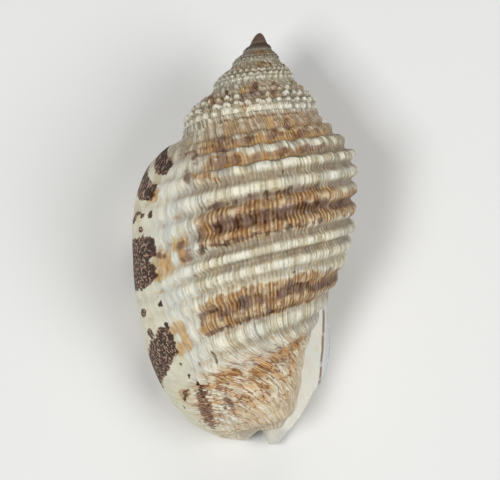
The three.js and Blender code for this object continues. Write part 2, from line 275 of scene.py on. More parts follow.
# %% The lip's centre line and its rings
# Each point: across, distance below the apex, height over the axis.
LIP_LINE = [
    [-10.7, 14.7, -5.2], [-12.3, 16.2, -7.4], [-13.9, 18.3, -9.0], [-15.4, 21.0, -9.9],
    [-16.45, 25.5, -10.1], [-16.6, 31.6, -9.05], [-16.1, 38.0, -7.95], [-14.6, 45.1, -6.8],
    [-12.1, 50.9, -5.8], [-8.5, 55.1, -5.1], [-4.7, 57.2, -4.7], [-1.9, 57.8, -4.4],
]
LIP_RADIUS = 2.04
LIP_START_RADIUS = 0.55
LIP_FULL_AT = 0.16
LIP_THINS_AT = 0.85
LIP_THINNING = 0.3

lip_fine = through(LIP_LINE, np.linspace(0, len(LIP_LINE) - 1, 2000), power=0.5) * [1, -1, 1]
lip_lengths = np.concatenate([[0], np.cumsum(np.linalg.norm(np.diff(lip_fine, axis=0), axis=1))])
lip_shares = lip_lengths / lip_lengths[-1]
lip_tangents = np.gradient(lip_fine, axis=0)
print("length of the lip, in mm:", lip_lengths[-1])


def along_lip(values, share):
    """A row of values along the lip, looked up at shares of its length from 0 to 1."""
    return np.stack([np.interp(share, lip_shares, column) for column in values.T], axis=-1)


def lip_point(share, turn):
    """A point on the lip's ring: centre plus radius times cosine outwards, less radius times sine in height.

    Turn 0 is the outermost line, 90 the line the lip rests on and 180 its inner side.
    """
    share, turn = np.broadcast_arrays(share, turn)
    centre = along_lip(lip_fine, share)
    tangent = along_lip(lip_tangents, share)
    outward = np.stack([tangent[..., 1], -tangent[..., 0], 0 * turn], axis=-1)
    outward /= np.linalg.norm(outward, axis=-1, keepdims=True)
    radius = LIP_START_RADIUS + (LIP_RADIUS - LIP_START_RADIUS) * smooth(share, 0, LIP_FULL_AT)
    radius *= 1 - LIP_THINNING * smooth(share, LIP_THINS_AT, 1)
    radius = (radius - CLEARANCE)[..., None]
    turn = np.radians(turn)[..., None]
    return centre + radius * (np.cos(turn) * outward - np.sin(turn) * np.array([0, 0, 1]))


# %% Rows across the whorl, and the bend into the lip
ROW_STEP = 0.125
SEAM_EDGE = 5.5
SEAM_BLEND = 0.35
HEADING_STEP = 7.5
LAST_ROW = round(LAST_CORD / ROW_STEP)
SEAM_ROW = round(SEAM_EDGE / ROW_STEP)
ROWS = np.arange(LAST_ROW + 1) * ROW_STEP
profile_steps = np.hypot(*np.diff(np.stack(crest_form(float(BODY_END), ROWS)), axis=1))
lip_places = np.concatenate([[0], np.cumsum(profile_steps)]) / profile_steps.sum()
print("rows:", len(ROWS), "over a profile of", profile_steps.sum(), "mm where the body ends")


def lip_zone(angle):
    """The whorl's surface past the end of its body, bent into the lip.

    A cubic with two handles a third of the way long leads from the whorl to the lip; from there the
    surface goes half way round the lip's rings. Near the suture it stays on the whorl.
    """
    body = whorl_surface(angle, ROWS)
    start = whorl_surface(float(BODY_END), ROWS)
    heading = start - whorl_surface(BODY_END - HEADING_STEP, ROWS)
    heading /= np.linalg.norm(heading, axis=-1, keepdims=True)
    end = lip_point(lip_places, 0.0)
    reach = np.linalg.norm(end - start, axis=-1, keepdims=True) / 3
    t = np.clip((angle - BODY_END) / (LIP_ROLL_START - BODY_END), 0, 1)[..., None]
    handle_a = start + heading * reach
    handle_b = end + reach * np.array([0, 0, 1])
    bend = (
        (1 - t) ** 3 * start + 3 * (1 - t) ** 2 * t * handle_a
        + 3 * (1 - t) * t**2 * handle_b + t**3 * end
    )
    turn = 180 * (angle - LIP_ROLL_START) / (LIP_END - LIP_ROLL_START)
    rolled = lip_point(lip_places, np.maximum(0, turn) + 0 * ROWS)
    target = np.where((turn > 0)[..., None], rolled, bend)
    share = smooth(lip_places, 0, 0.07)[:, None]
    return body + share * (target - body)


# %% [markdown]
# ## One grid for the whole coil
#
# Columns go along the coil and rows go across it, from the suture to the front end. Where a whorl covers
# the one before, its first row is the last row of that whorl, so both share the same points and the spire
# is closed without a boolean. The small whorls near the apex need fewer rows, so each turn towards the
# apex keeps every second, fourth or later row, and one strip of triangles joins two counts of rows.

# %% Points of the grid
KEPT_EVERY = np.array([1, 1, 2, 4, 11, 22])

grid = whorl_surface(angles[:, None], ROWS[None, :])
grid[BODY_COLUMN + 1:, 1:] = lip_zone(angles[BODY_COLUMN + 1:, None])[:, 1:]
grid[:, 0] = suture(angles)
seam_line = grid[COLUMNS_PER_TURN:MOUTH_COLUMN + COLUMNS_PER_TURN + 1, :1]
spire = grid[:MOUTH_COLUMN + 1, :SEAM_ROW]
near_seam = smooth(ROWS[:SEAM_ROW], SEAM_EDGE - SEAM_BLEND, SEAM_EDGE)[None, :, None]
grid[:MOUTH_COLUMN + 1, :SEAM_ROW] = spire + near_seam * (seam_line - spire)

turns_back = np.ceil((MOUTH_COLUMN - np.arange(LAST_COLUMN + 1)) / COLUMNS_PER_TURN)
row_step = KEPT_EVERY[np.clip(turns_back, 0, len(KEPT_EVERY) - 1).astype(int)]

used = np.arange(LAST_ROW + 1)[None, :] % row_step[:, None] == 0
used[:MOUTH_COLUMN, SEAM_ROW:] = False
used[MOUTH_COLUMN, SEAM_ROW] = False
ids = np.where(used, np.cumsum(used).reshape(used.shape) - 1, -1)
ids[:MOUTH_COLUMN + 1, SEAM_ROW] = ids[COLUMNS_PER_TURN:MOUTH_COLUMN + COLUMNS_PER_TURN + 1, 0]
coil_points = grid[used]
print("points of the coil:", len(coil_points))


# %% Faces of the grid
def cells(*corners):
    """Faces as pairs of column and row: one pair of arrays for each corner, in order round the face."""
    pairs = [np.stack(np.broadcast_arrays(column, row), axis=-1) for column, row in corners]
    return np.stack(pairs, axis=-2).reshape(-1, len(corners), 2)


def even_strip(columns, rows):
    """Quads from each column to the next, between neighbouring kept rows."""
    this = columns[:, None]
    low, high = rows[None, :-1], rows[None, 1:]
    return cells((this + 1, low), (this + 1, high), (this, high), (this, low))


def uneven_strip(column, rows, step_here, step_next):
    """Triangles from a column with few rows to the next, which keeps more.

    Every step of the finer column goes to its nearest kept row of the coarser one, and every step of the
    coarser column to the finer row where that nearest row changes.
    """
    fine = rows[rows % step_next == 0]
    nearest = np.minimum(np.round(fine / step_here).astype(int) * step_here, rows[-1])
    change = nearest[1:] != nearest[:-1]
    fans = cells((column + 1, fine[:-1]), (column + 1, fine[1:]), (column, nearest[:-1]))
    steps = cells((column + 1, fine[1:]), (column, nearest[1:]), (column, nearest[:-1]))
    return np.concatenate([fans, steps[change]])


spire_rows = np.arange(SEAM_ROW + 1)
quad_cells = [even_strip(np.arange(MOUTH_COLUMN, LAST_COLUMN), np.arange(LAST_ROW + 1))]
tri_cells = []
for step in np.unique(row_step[:MOUTH_COLUMN]):
    columns = np.flatnonzero(row_step[:MOUTH_COLUMN] == step)
    even = row_step[columns + 1] == step
    quad_cells.append(even_strip(columns[even], spire_rows[spire_rows % step == 0]))
    tri_cells += [uneven_strip(c, spire_rows, step, row_step[c + 1]) for c in columns[~even]]
quad_cells = np.concatenate(quad_cells)
tri_cells = np.concatenate(tri_cells)
print("faces of the coil:", len(quad_cells), "quads and", len(tri_cells), "triangles")

# %% [markdown]
# ## Apex, front end and hollow
#
# Three places close the coil. Rings that follow a parabola make the rounded tip, which is the shell the
# young animal hatched with. A fan of triangles closes the front end. Behind the mouth, rings run back along
# the coil, 1.2 mm inside the outer wall, so the shell is a real cup with a thick edge. They start on the
# lip's inner side, which joins them to the grid without a gap.

# %% Rings of the hollow
HOLLOW_ANGLES = [180, 157.5, 135, 105, 75, 37.5, 0]
HOLLOW_WALL = 1.2
HOLLOW_FLOOR = 0.5
FLOOR_SINK = 1.6
FLOOR_RISE_CORDS = 3.2
VALLEY_SHARE_INSIDE = 0.9
HOLLOW_FRONT = 0.88
RINGS_BETWEEN = 4
NOSE_LENGTH = 0.4
DOME_DEPTHS = [0.8, 0.6, 0.4, 0.22, 0.1, 0.03]


def hollow_wall(angle, cord):
    """Outer wall of the hollow: the crests' form moved inwards; past the body it leads on to the lip."""
    place = min(angle, BODY_END)
    radius, below = crest_form(float(place), cord)
    out, down = profile_normal(float(place), cord)
    inwards = HOLLOW_WALL + valley_depth(angle, cord) * VALLEY_SHARE_INSIDE
    wall = on_coil(float(place), radius - out * inwards, below - down * inwards)
    share = max(0, angle - BODY_END) / (LIP_END - BODY_END)
    return wall + share * (lip_point(cord / LAST_CORD, 180.0) - wall)


def hollow_floor(angle, cord):
    """Inner wall of the hollow: just outside the whorl of one turn before, and inside it by the suture."""
    before = cord * HOLLOW_FRONT + SEAM_CORD * (1 - HOLLOW_FRONT)
    radius, below = crest_form(angle - 360.0, before)
    rise = smooth(before, SEAM_CORD, SEAM_CORD + FLOOR_RISE_CORDS)
    outwards = HOLLOW_FLOOR * ((1 + FLOOR_SINK) * rise - FLOOR_SINK)
    return on_coil(float(angle), radius + outwards, below + HOLLOW_FLOOR)


mouth_ids = np.concatenate([ids[LAST_COLUMN], ids[MOUTH_COLUMN, :SEAM_ROW:-1]])
inner_cords = ROWS[:SEAM_ROW:-1]
rings = [coil_points[mouth_ids]]
for angle in HOLLOW_ANGLES:
    rings.append(np.concatenate([
        hollow_wall(angle, ROWS * HOLLOW_FRONT),
        hollow_floor(angle, inner_cords),
    ]))
places = np.arange(1, len(HOLLOW_ANGLES) * RINGS_BETWEEN + 1) / RINGS_BETWEEN
hollow_rings = through(np.stack(rings), places)
print("rings of the hollow:", len(hollow_rings), "of", hollow_rings.shape[1], "points")


# %% Joining rings
def ring_quads(ring_ids):
    """Quads from each ring of point numbers to the next, closed round the ring."""
    after = np.roll(ring_ids, -1, axis=1)
    faces = [ring_ids[1:], after[1:], after[:-1], ring_ids[:-1]]
    return np.stack(faces, axis=-1).reshape(-1, 4)


def fan(ring, centre):
    """Triangles from a closed ring of point numbers to one point."""
    return np.stack([np.roll(ring, -1), ring, 0 * ring + centre], axis=-1)


def more_ids(first, count, length):
    """Numbers for new points: rows of equal length that go on from the first number."""
    return first + np.arange(count * length).reshape(count, length)


hollow_ids = more_ids(len(coil_points), len(places), len(mouth_ids))
hollow_quads = ring_quads(np.concatenate([mouth_ids[None], hollow_ids]))
front = on_coil(0.0, 0.0, CORD_CRESTS[-1][1] + NOSE_LENGTH)[None]
end = hollow_rings[-1].mean(axis=0, keepdims=True)

kept_at_start = spire_rows[spire_rows % row_step[0] == 0]
crown = np.concatenate([ids[0, kept_at_start[:0:-1]], ids[:COLUMNS_PER_TURN, 0]])
crown_points = coil_points[crown]
depth = np.array(DOME_DEPTHS)[:, None]
dome_rings = np.stack([
    crown_points[:, 0] * np.sqrt(depth), crown_points[:, 1] * depth, crown_points[:, 2] * np.sqrt(depth)
], axis=-1)
dome_ids = more_ids(hollow_ids[-1, -1] + 1, len(depth), len(crown))
dome_quads = ring_quads(np.concatenate([crown[None], dome_ids]))
tip_id, front_id, end_id = dome_ids[-1, -1] + np.array([1, 2, 3])
tip = np.zeros((1, 3))
nose = ids[MOUTH_COLUMN:, LAST_ROW]
tip_faces = fan(dome_ids[-1], tip_id)
nose_faces = fan(nose[::-1], front_id)
end_faces = fan(hollow_ids[-1], end_id)
print("points of the tip:", dome_ids.size, "and of the hollow:", hollow_ids.size)

# %% [markdown]
# ## The shield
#
# The animal glazes the mouth side with a broad smooth shield whose right edge stands free like a flange.
# Its cross-sections change along the shell, so it is a loft: a ring of six points at each distance below
# the apex, a closed smooth curve through them, and a smooth curve from section to section. Low wrinkles and
# pustules, which the real shield has near the mouth, are added along the surface's normals.

# %% Sections of the shield
# Each section: distance below the apex, and six points of its ring as across and height over the axis.
SHIELD_SECTIONS = [
    [16.2, [[-7.2, -9.2], [-3.6, -12.0], [0.3, -12.6], [2.6, -11.7], [-1.0, -8.5], [-5.0, -6.5]]],
    [18.6, [[-9.8, -8.1], [-5.4, -12.0], [0.5, -13.0], [5.2, -11.9], [2.0, -8.0], [-6.0, -5.0]]],
    [22.0, [[-10.3, -7.6], [-5.6, -11.8], [1.0, -13.0], [7.2, -10.9], [3.0, -7.0], [-5.0, -4.0]]],
    [27.0, [[-9.9, -7.3], [-5.4, -10.9], [1.0, -12.0], [8.6, -9.5], [4.5, -6.0], [-4.0, -3.0]]],
    [31.5, [[-9.1, -7.0], [-4.8, -10.0], [1.4, -10.9], [9.35, -8.6], [6.6, -6.0], [-3.0, -2.5]]],
    [36.0, [[-8.0, -6.5], [-3.8, -9.0], [2.0, -9.5], [9.85, -8.7], [6.4, -5.2], [-2.5, -1.5]]],
    [40.0, [[-6.7, -6.2], [-2.6, -8.1], [2.6, -8.6], [9.9, -9.3], [5.4, -4.2], [-1.5, -1.0]]],
    [45.0, [[-5.3, -5.9], [-1.6, -7.4], [3.0, -7.9], [10.25, -8.95], [5.0, -3.2], [-0.5, -0.8]]],
    [49.3, [[-3.8, -5.5], [-0.4, -6.7], [3.4, -7.2], [9.45, -7.9], [4.6, -2.6], [0.0, -0.6]]],
    [52.0, [[-2.7, -5.3], [0.2, -6.4], [3.4, -6.8], [7.75, -6.8], [4.1, -2.3], [0.5, -0.6]]],
    [55.3, [[-1.2, -4.9], [0.9, -5.8], [3.2, -6.1], [5.95, -5.9], [3.2, -1.8], [1.0, -0.7]]],
    [57.4, [[0.2, -4.5], [1.4, -5.2], [2.8, -5.5], [4.3, -5.2], [2.8, -1.8], [1.2, -1.0]]],
    [58.8, [[0.9, -4.2], [1.5, -4.8], [2.3, -5.0], [3.1, -4.7], [2.4, -2.4], [1.4, -1.8]]],
    [59.7, [[1.2, -3.9], [1.6, -4.3], [2.0, -4.4], [2.4, -4.1], [2.0, -3.1], [1.5, -2.9]]],
]
SHIELD_POINTS = 96
SECTIONS_BETWEEN = 6
shield_corners = np.array([
    [[across, -below, height] for across, height in ring] for below, ring in SHIELD_SECTIONS
])
last_section = len(SHIELD_SECTIONS) - 1
section_places = np.linspace(0, last_section, last_section * SECTIONS_BETWEEN + 1)
fine_corners = through(shield_corners, section_places, power=0.5).swapaxes(0, 1)
around = np.arange(SHIELD_POINTS) * len(fine_corners) / SHIELD_POINTS
around = -around % len(fine_corners)
shield_rings = through(fine_corners, around, power=0.5, closed=True).swapaxes(0, 1)
print("rings of the shield:", shield_rings.shape[:2])


# %% Wrinkles and pustules of the shield
def grid_normals(rings):
    """Unit normals of a grid of closed rings: the cross product of the steps along and round."""
    round_step = np.roll(rings, -1, axis=1) - np.roll(rings, 1, axis=1)
    along_step = np.gradient(rings, axis=0)
    normals = np.cross(along_step, round_step)
    return normals / np.linalg.norm(normals, axis=-1, keepdims=True)


rng = np.random.default_rng(7)
PUSTULES = 110
pustule_x = rng.uniform(-9.5, 1.5, PUSTULES)
pustule_y = rng.uniform(-52, -18, PUSTULES)
pustule_size = rng.uniform(0.25, 0.5, PUSTULES)


def shield_bumps(points):
    """Height of the pustules: a bell curve over each centre, as wide as the pustule is large."""
    across = points[..., 0, None] - pustule_x
    along = points[..., 1, None] - pustule_y
    bells = np.exp(-(across**2 + 0.5 * along**2) / (2 * pustule_size**2))
    return (0.35 * pustule_size * bells).sum(axis=-1)


outwards = grid_normals(shield_rings)
mouth_side = smooth(-outwards[..., 2], 0.1, 0.6) * (1 - smooth(shield_rings[..., 0], 0.0, 4.0))
shield_rings += outwards * (mouth_side * shield_bumps(shield_rings))[..., None]
print("highest pustule, in mm:", (mouth_side * shield_bumps(shield_rings)).max())

# %% [markdown]
# ## Teeth of the lip
#
# Sixteen low ridges stand on the lip's inner side, square to its edge, smaller towards its back end. Each is
# a stretched ball that sinks half into the lip. All are worked out at once, one along the first axis.

# %% Teeth
TEETH = 16
TOOTH_SIZE = [2.6, 1.0, 1.1]
TOOTH_TURN = 132
TOOTH_SLANT = 42
FIRST_TOOTH, LAST_TOOTH = 0.14, 0.86
SMALLEST_TOOTH = 0.45
TEETH_GROW_OVER = [0.12, 0.34]

tooth_share = np.linspace(FIRST_TOOTH, LAST_TOOTH, TEETH)
tooth_growth = SMALLEST_TOOTH + (1 - SMALLEST_TOOTH) * smooth(tooth_share, *TEETH_GROW_OVER)
tooth_centre = lip_point(tooth_share, float(TOOTH_TURN))
tooth_along = along_lip(lip_tangents, tooth_share) * [1, 1, 0]
tooth_along /= np.linalg.norm(tooth_along, axis=-1, keepdims=True)
slant = np.radians(TOOTH_SLANT)
tooth_ridge = np.stack([-tooth_along[:, 1], tooth_along[:, 0], 0 * tooth_share], axis=-1) * np.cos(slant)
tooth_ridge[:, 2] = np.sin(slant)
tooth_up = np.cross(tooth_ridge, tooth_along)
tooth_axes = np.stack([tooth_ridge, tooth_along, tooth_up], axis=1) * (np.array(TOOTH_SIZE) / 2)[:, None]
tooth_axes *= tooth_growth[:, None, None]

BALL_RINGS = 9
BALL_POINTS = 16
polar = np.linspace(0, np.pi, BALL_RINGS + 2)[1:-1, None]
turn = np.linspace(0, 2 * np.pi, BALL_POINTS, endpoint=False)[None, :]
ball = np.stack([np.cos(polar) + 0 * turn, np.sin(polar) * np.cos(turn), np.sin(polar) * np.sin(turn)], -1)
teeth_rings = tooth_centre[:, None, None] + ball @ tooth_axes[:, None]
teeth_poles = tooth_centre[:, None] + np.array([1, -1])[:, None] * tooth_axes[:, 0][:, None]
print("teeth:", teeth_rings.shape)


# %% Closed tubes
def closed_tube(rings, first_pole, last_pole):
    """Points, quads and triangles of a tube of rings that ends in a point at each side."""
    numbers = more_ids(0, *rings.shape[:2])
    poles = numbers[-1, -1] + np.array([1, 2])
    points = np.concatenate([rings.reshape(-1, 3), [first_pole, last_pole]])
    sides = ring_quads(numbers)
    ends = np.concatenate([fan(numbers[0], poles[0])[:, ::-1], fan(numbers[-1], poles[1])])
    return points, sides, ends


def volume(points, faces):
    """Volume inside closed faces: a sixth of the sum of every triangle's box product."""
    a, b, c = (points[faces[:, k]] for k in (0, 1, 2))
    total = np.einsum("ij,ij->", a, np.cross(b, c))
    if faces.shape[1] == 4:
        d = points[faces[:, 3]]
        total += np.einsum("ij,ij->", a, np.cross(c, d))
    return total / 6


coil_all = np.concatenate([
    coil_points, hollow_rings.reshape(-1, 3), dome_rings.reshape(-1, 3), tip, front, end
])
coil_quads = np.concatenate([ids[quad_cells[..., 0], quad_cells[..., 1]], dome_quads, hollow_quads])
coil_tris = np.concatenate([ids[tri_cells[..., 0], tri_cells[..., 1]], tip_faces, nose_faces, end_faces])
bodies = [(coil_all, coil_quads, coil_tris)]
shield_ends = shield_rings[[0, -1]].mean(axis=1)
bodies.append(closed_tube(shield_rings, *shield_ends))
bodies += [closed_tube(rings, *poles) for rings, poles in zip(teeth_rings, teeth_poles)]
volumes = [volume(points, quads) + volume(points, tris) for points, quads, tris in bodies]
print("volumes of coil, shield and first tooth, in cubic mm:", volumes[:3])

# %% [markdown]
# ## From the coil axis to the floor
#
# The coil lies with its axis sloping down to the front, and rests on the belly of the shield, the lip and
# the shield's free edge. The last tenths that would reach under the floor are pressed flat, as the packed
# solid is cut flat there. A notch between lip and shield, where the siphon leaves, is pressed in the same
# way: every point inside an egg shape moves out to the egg's surface.

# %% Notch, slope and floor
NOTCH_CENTRE = [0.1, -59.6, -3.2]
NOTCH_RADII = [0.62, 2.1, 3.2]
SLOPE = 10
APEX_HEIGHT = 16.35
SHIFT = [2.26866, 29.24128]


def press_notch(points):
    """Points inside the egg shape move straight away from its centre, out to its surface."""
    offset = (points - NOTCH_CENTRE) / NOTCH_RADII
    distance = np.linalg.norm(offset, axis=-1, keepdims=True)
    return NOTCH_CENTRE + offset / np.clip(distance, 1e-6, 1) * NOTCH_RADII


def lay_down(points):
    """Turns by the slope about the across axis, lifts to the apex height, presses flat at the floor."""
    slope = np.radians(SLOPE)
    x, y, z = points.T
    back = y * np.cos(slope) - z * np.sin(slope)
    up = y * np.sin(slope) + z * np.cos(slope) + APEX_HEIGHT
    return np.stack([x + SHIFT[0], back + SHIFT[1], np.maximum(0, up)], axis=-1)


placed = [lay_down(press_notch(points)) for points, quads, tris in bodies]

# %% [markdown]
# ## One mesh
#
# The fine surfaces go into one mesh in metres. Its UV map follows the growth: up is the share of the
# cords passed, and across counts turns along the coil, shifted so that a growth line, the old edge of the
# shell, keeps one value. Those lines run straight across the middle cords and lean at both ends.

# %% Mesh data
# How far a growth line leans, in degrees for each cord: more near the suture, everywhere, more in front.
LINE_SLOPES = [3.5, 1, 19]
STRAIGHT_CORD = 8
line_slope = (
    LINE_SLOPES[0] * (1 - smooth(ROWS, 2.5, 5))
    + LINE_SLOPES[1]
    + LINE_SLOPES[2] * smooth(ROWS, 11.5, 13.5)
)
line_shift = np.cumsum(line_slope) * ROW_STEP
line_shift -= line_shift[round(STRAIGHT_CORD / ROW_STEP)]

starts = np.cumsum([0] + [len(points) for points in placed])
all_points = np.concatenate(placed) * MM
all_quads = np.concatenate([quads + start for (_, quads, _), start in zip(bodies, starts)])
all_tris = np.concatenate([tris + start for (_, _, tris), start in zip(bodies, starts)])

shell_mesh = bpy.data.meshes.new("shell_surface")
shell_mesh.from_pydata(all_points.tolist(), [], all_quads.tolist() + all_tris.tolist())
shell_mesh.shade_smooth()


def add_object(name, data):
    """An object for a mesh, a camera or a lamp, placed in the scene."""
    made = bpy.data.objects.new(name, data)
    bpy.context.scene.collection.objects.link(made)
    return made


def coil_uv(cell_pairs):
    """Across is the angle and the growth line's shift, in turns; up is the cord number over the last one."""
    across = (angles[cell_pairs[..., 0]] + line_shift[cell_pairs[..., 1]]) / 360
    return np.stack([across, ROWS[cell_pairs[..., 1]] / LAST_CORD], axis=-1)


shell_piece = add_object("shell_surface", shell_mesh)
quad_uv = np.zeros((len(all_quads), 4, 2))
quad_uv[:len(quad_cells)] = coil_uv(quad_cells)
tri_uv = np.zeros((len(all_tris), 3, 2))
tri_uv[:len(tri_cells)] = coil_uv(tri_cells)
coil_map = shell_mesh.uv_layers.new(name="coil")
coil_map.uv.foreach_set("vector", np.concatenate([quad_uv.ravel(), tri_uv.ravel()]))
print("triangles in the shell:", 2 * len(all_quads) + len(all_tris))


# %% Attributes and material numbers
def add_attribute(name, values, first=0):
    """A value for every point of the mesh, given from one point number on; all others get 0."""
    filled = np.zeros(len(all_points))
    filled[first:first + len(values)] = values
    shell_mesh.attributes.new(name, "FLOAT", "POINT").data.foreach_set("value", filled)


column_angle, row_cord = np.broadcast_arrays(angles[:, None], ROWS[None, :])
point_angle, point_cord = column_angle[used], row_cord[used]
_, valley, knob = relief(point_angle, point_cord)
on_spire = 1 - smooth(point_angle, -160, -100)
beaded = on_spire * smooth(point_cord, 2.2, 3.0)
beside_suture = point_cord < 0.55
add_attribute("valley", valley * valley_depth(point_angle, point_cord))
# Painted shade in the pits between the spire's beads and in the groove beside the suture.
add_attribute("pit_shade", (1 - knob) * (0.3 + 0.7 * valley) * np.where(beside_suture, 0.7, beaded))
# Share of the spire's beads, which get a painted highlight.
add_attribute("bead_and_highlight", knob * (1 - valley) * beaded)
add_attribute("lip", smooth(point_angle, 112, 142) * smooth(point_cord, 1.8, 4.0))
add_attribute("rim", smooth(point_angle, 145, 156) * smooth(point_cord, 1.0, 2.5))

quad_material = np.arange(len(all_quads)) >= len(quad_cells) + len(dome_quads)
tri_material = np.arange(len(all_tris)) >= len(tri_cells) + len(tip_faces) + len(nose_faces)
material_numbers = np.concatenate([quad_material, tri_material]).astype(int)
shell_mesh.polygons.foreach_set("material_index", material_numbers)
print("glazed faces:", material_numbers.sum(), "of", len(material_numbers))

# %% [markdown]
# ## Where the markings are
#
# Three spiral bands of orange and dark brown run round the whorls, a mottled patch covers the front end,
# and the lip carries square dark blotches. A picture of them could be projected, but marks made by rule
# follow the growth and hold on every side. Each kind of mark is a soft field on the mesh's points: 1 in the
# middle, 0.5 on the edge, 0 outside. The paint breaks the edge up later.


# %% Soft fields
def stretches(places, sharpness=8):
    """Strongest of many soft patches, each given as angle, cord, half length, half width and lean.

    A patch is 1 less half the sum of (length share)^sharpness and (width share)^2. Lean moves its middle
    by so many cords for every 10 degrees.
    """
    middle, cord, length, width, lean = np.transpose(places)
    along = (point_angle[:, None] - middle) / length
    across = (point_cord[:, None] - cord - lean * along * length / 10) / width
    return np.clip(1 - 0.5 * (np.abs(along) ** sharpness + across**2), 0, 1).max(axis=1)


def spots(places):
    """The same for round spots, where both shares are squared."""
    return stretches(places, sharpness=2)


print("points under a spot one cord wide at the back:", (spots([[90, 7, 10, 0.5, 0]]) > 0.5).sum())


# %% Orange, tan and dark bands
ORANGE_STRETCHES = [
    [80, 5.9, 43, 0.36, 0], [82, 6.85, 41, 0.38, 0], [24, 6.5, 22, 0.6, 0], [-60, 6.4, 70, 0.9, 0],
    [84, 10.15, 46, 0.36, 0], [86, 11.1, 45, 0.38, 0], [24, 10.7, 28, 0.6, 0], [-70, 10.6, 70, 0.8, 0],
    [84, 6.35, 38, 0.3, 0], [84, 10.6, 46, 0.3, 0], [62, 13.6, 18, 0.3, 0.1], [90, 14.1, 12, 0.35, 0.1],
]
ORANGE_SPOTS = [
    [134, 6.6, 5, 0.3, -0.1], [130, 7.2, 4, 0.35, 0], [144, 6.9, 7, 0.4, -0.1], [144, 7.65, 7, 0.35, 0],
    [146, 10.55, 6, 0.35, 0], [146, 11.35, 7, 0.4, 0.1], [158, 13.4, 4, 0.35, 0.2], [151, 4.1, 3, 0.25, 0],
    [-286, 3.0, 9, 0.5, 0], [-257, 1.7, 9, 0.9, 0], [-226, 2.9, 6, 0.6, 0], [-642, 1.6, 16, 0.9, 0],
    [-592, 1.7, 5, 0.7, 0], [-1000, 2.0, 25, 1.2, 0], [-340, 1.5, 12, 0.8, 0], [-258, 4.8, 2.5, 0.5, 0],
    [66, 1.4, 6, 0.7, 0], [81, 1.2, 3, 0.7, 0], [112, 3.3, 8, 0.35, 0], [104, 3.4, 5, 0.25, 0],
    [184, 6.8, 8, 0.6, 0], [184, 11.2, 8, 0.6, 0], [72, 2.4, 45, 0.24, 0], [90, 3.4, 30, 0.2, 0],
    [121, 13.7, 16, 0.3, 0], [120, 3.9, 9, 0.3, -0.3], [126, 2.2, 8, 0.4, -0.3],
]
DARK_STRETCHES = [
    [60, 6.35, 12, 0.26, 0], [92, 6.38, 24, 0.3, 0], [28, 6.5, 18, 0.2, 0],
    [68, 10.5, 12, 0.24, 0], [100, 10.5, 4, 0.3, 0], [34, 10.75, 22, 0.2, 0],
    [122, 10.45, 8, 0.12, 0], [122, 11.42, 7, 0.1, 0],
    [-60, 6.4, 60, 0.25, 0], [-70, 10.6, 60, 0.25, 0],
]
DARK_LINES = [
    [92, 2.27, 63, 0.11, 0], [72, 3.32, 28, 0.1, 0], [112, 3.3, 10, 0.14, 0], [-20, 2.33, 40, 0.12, 0],
    [88, 10.65, 12, 0.22, 0], [109, 10.7, 6, 0.2, 0], [88, 5.45, 36, 0.1, 0], [88, 7.12, 36, 0.12, 0],
    [90, 11.42, 30, 0.1, 0], [-236, 2.9, 60, 0.14, 0], [-590, 2.9, 70, 0.14, 0], [95, 0.42, 45, 0.1, 0],
]
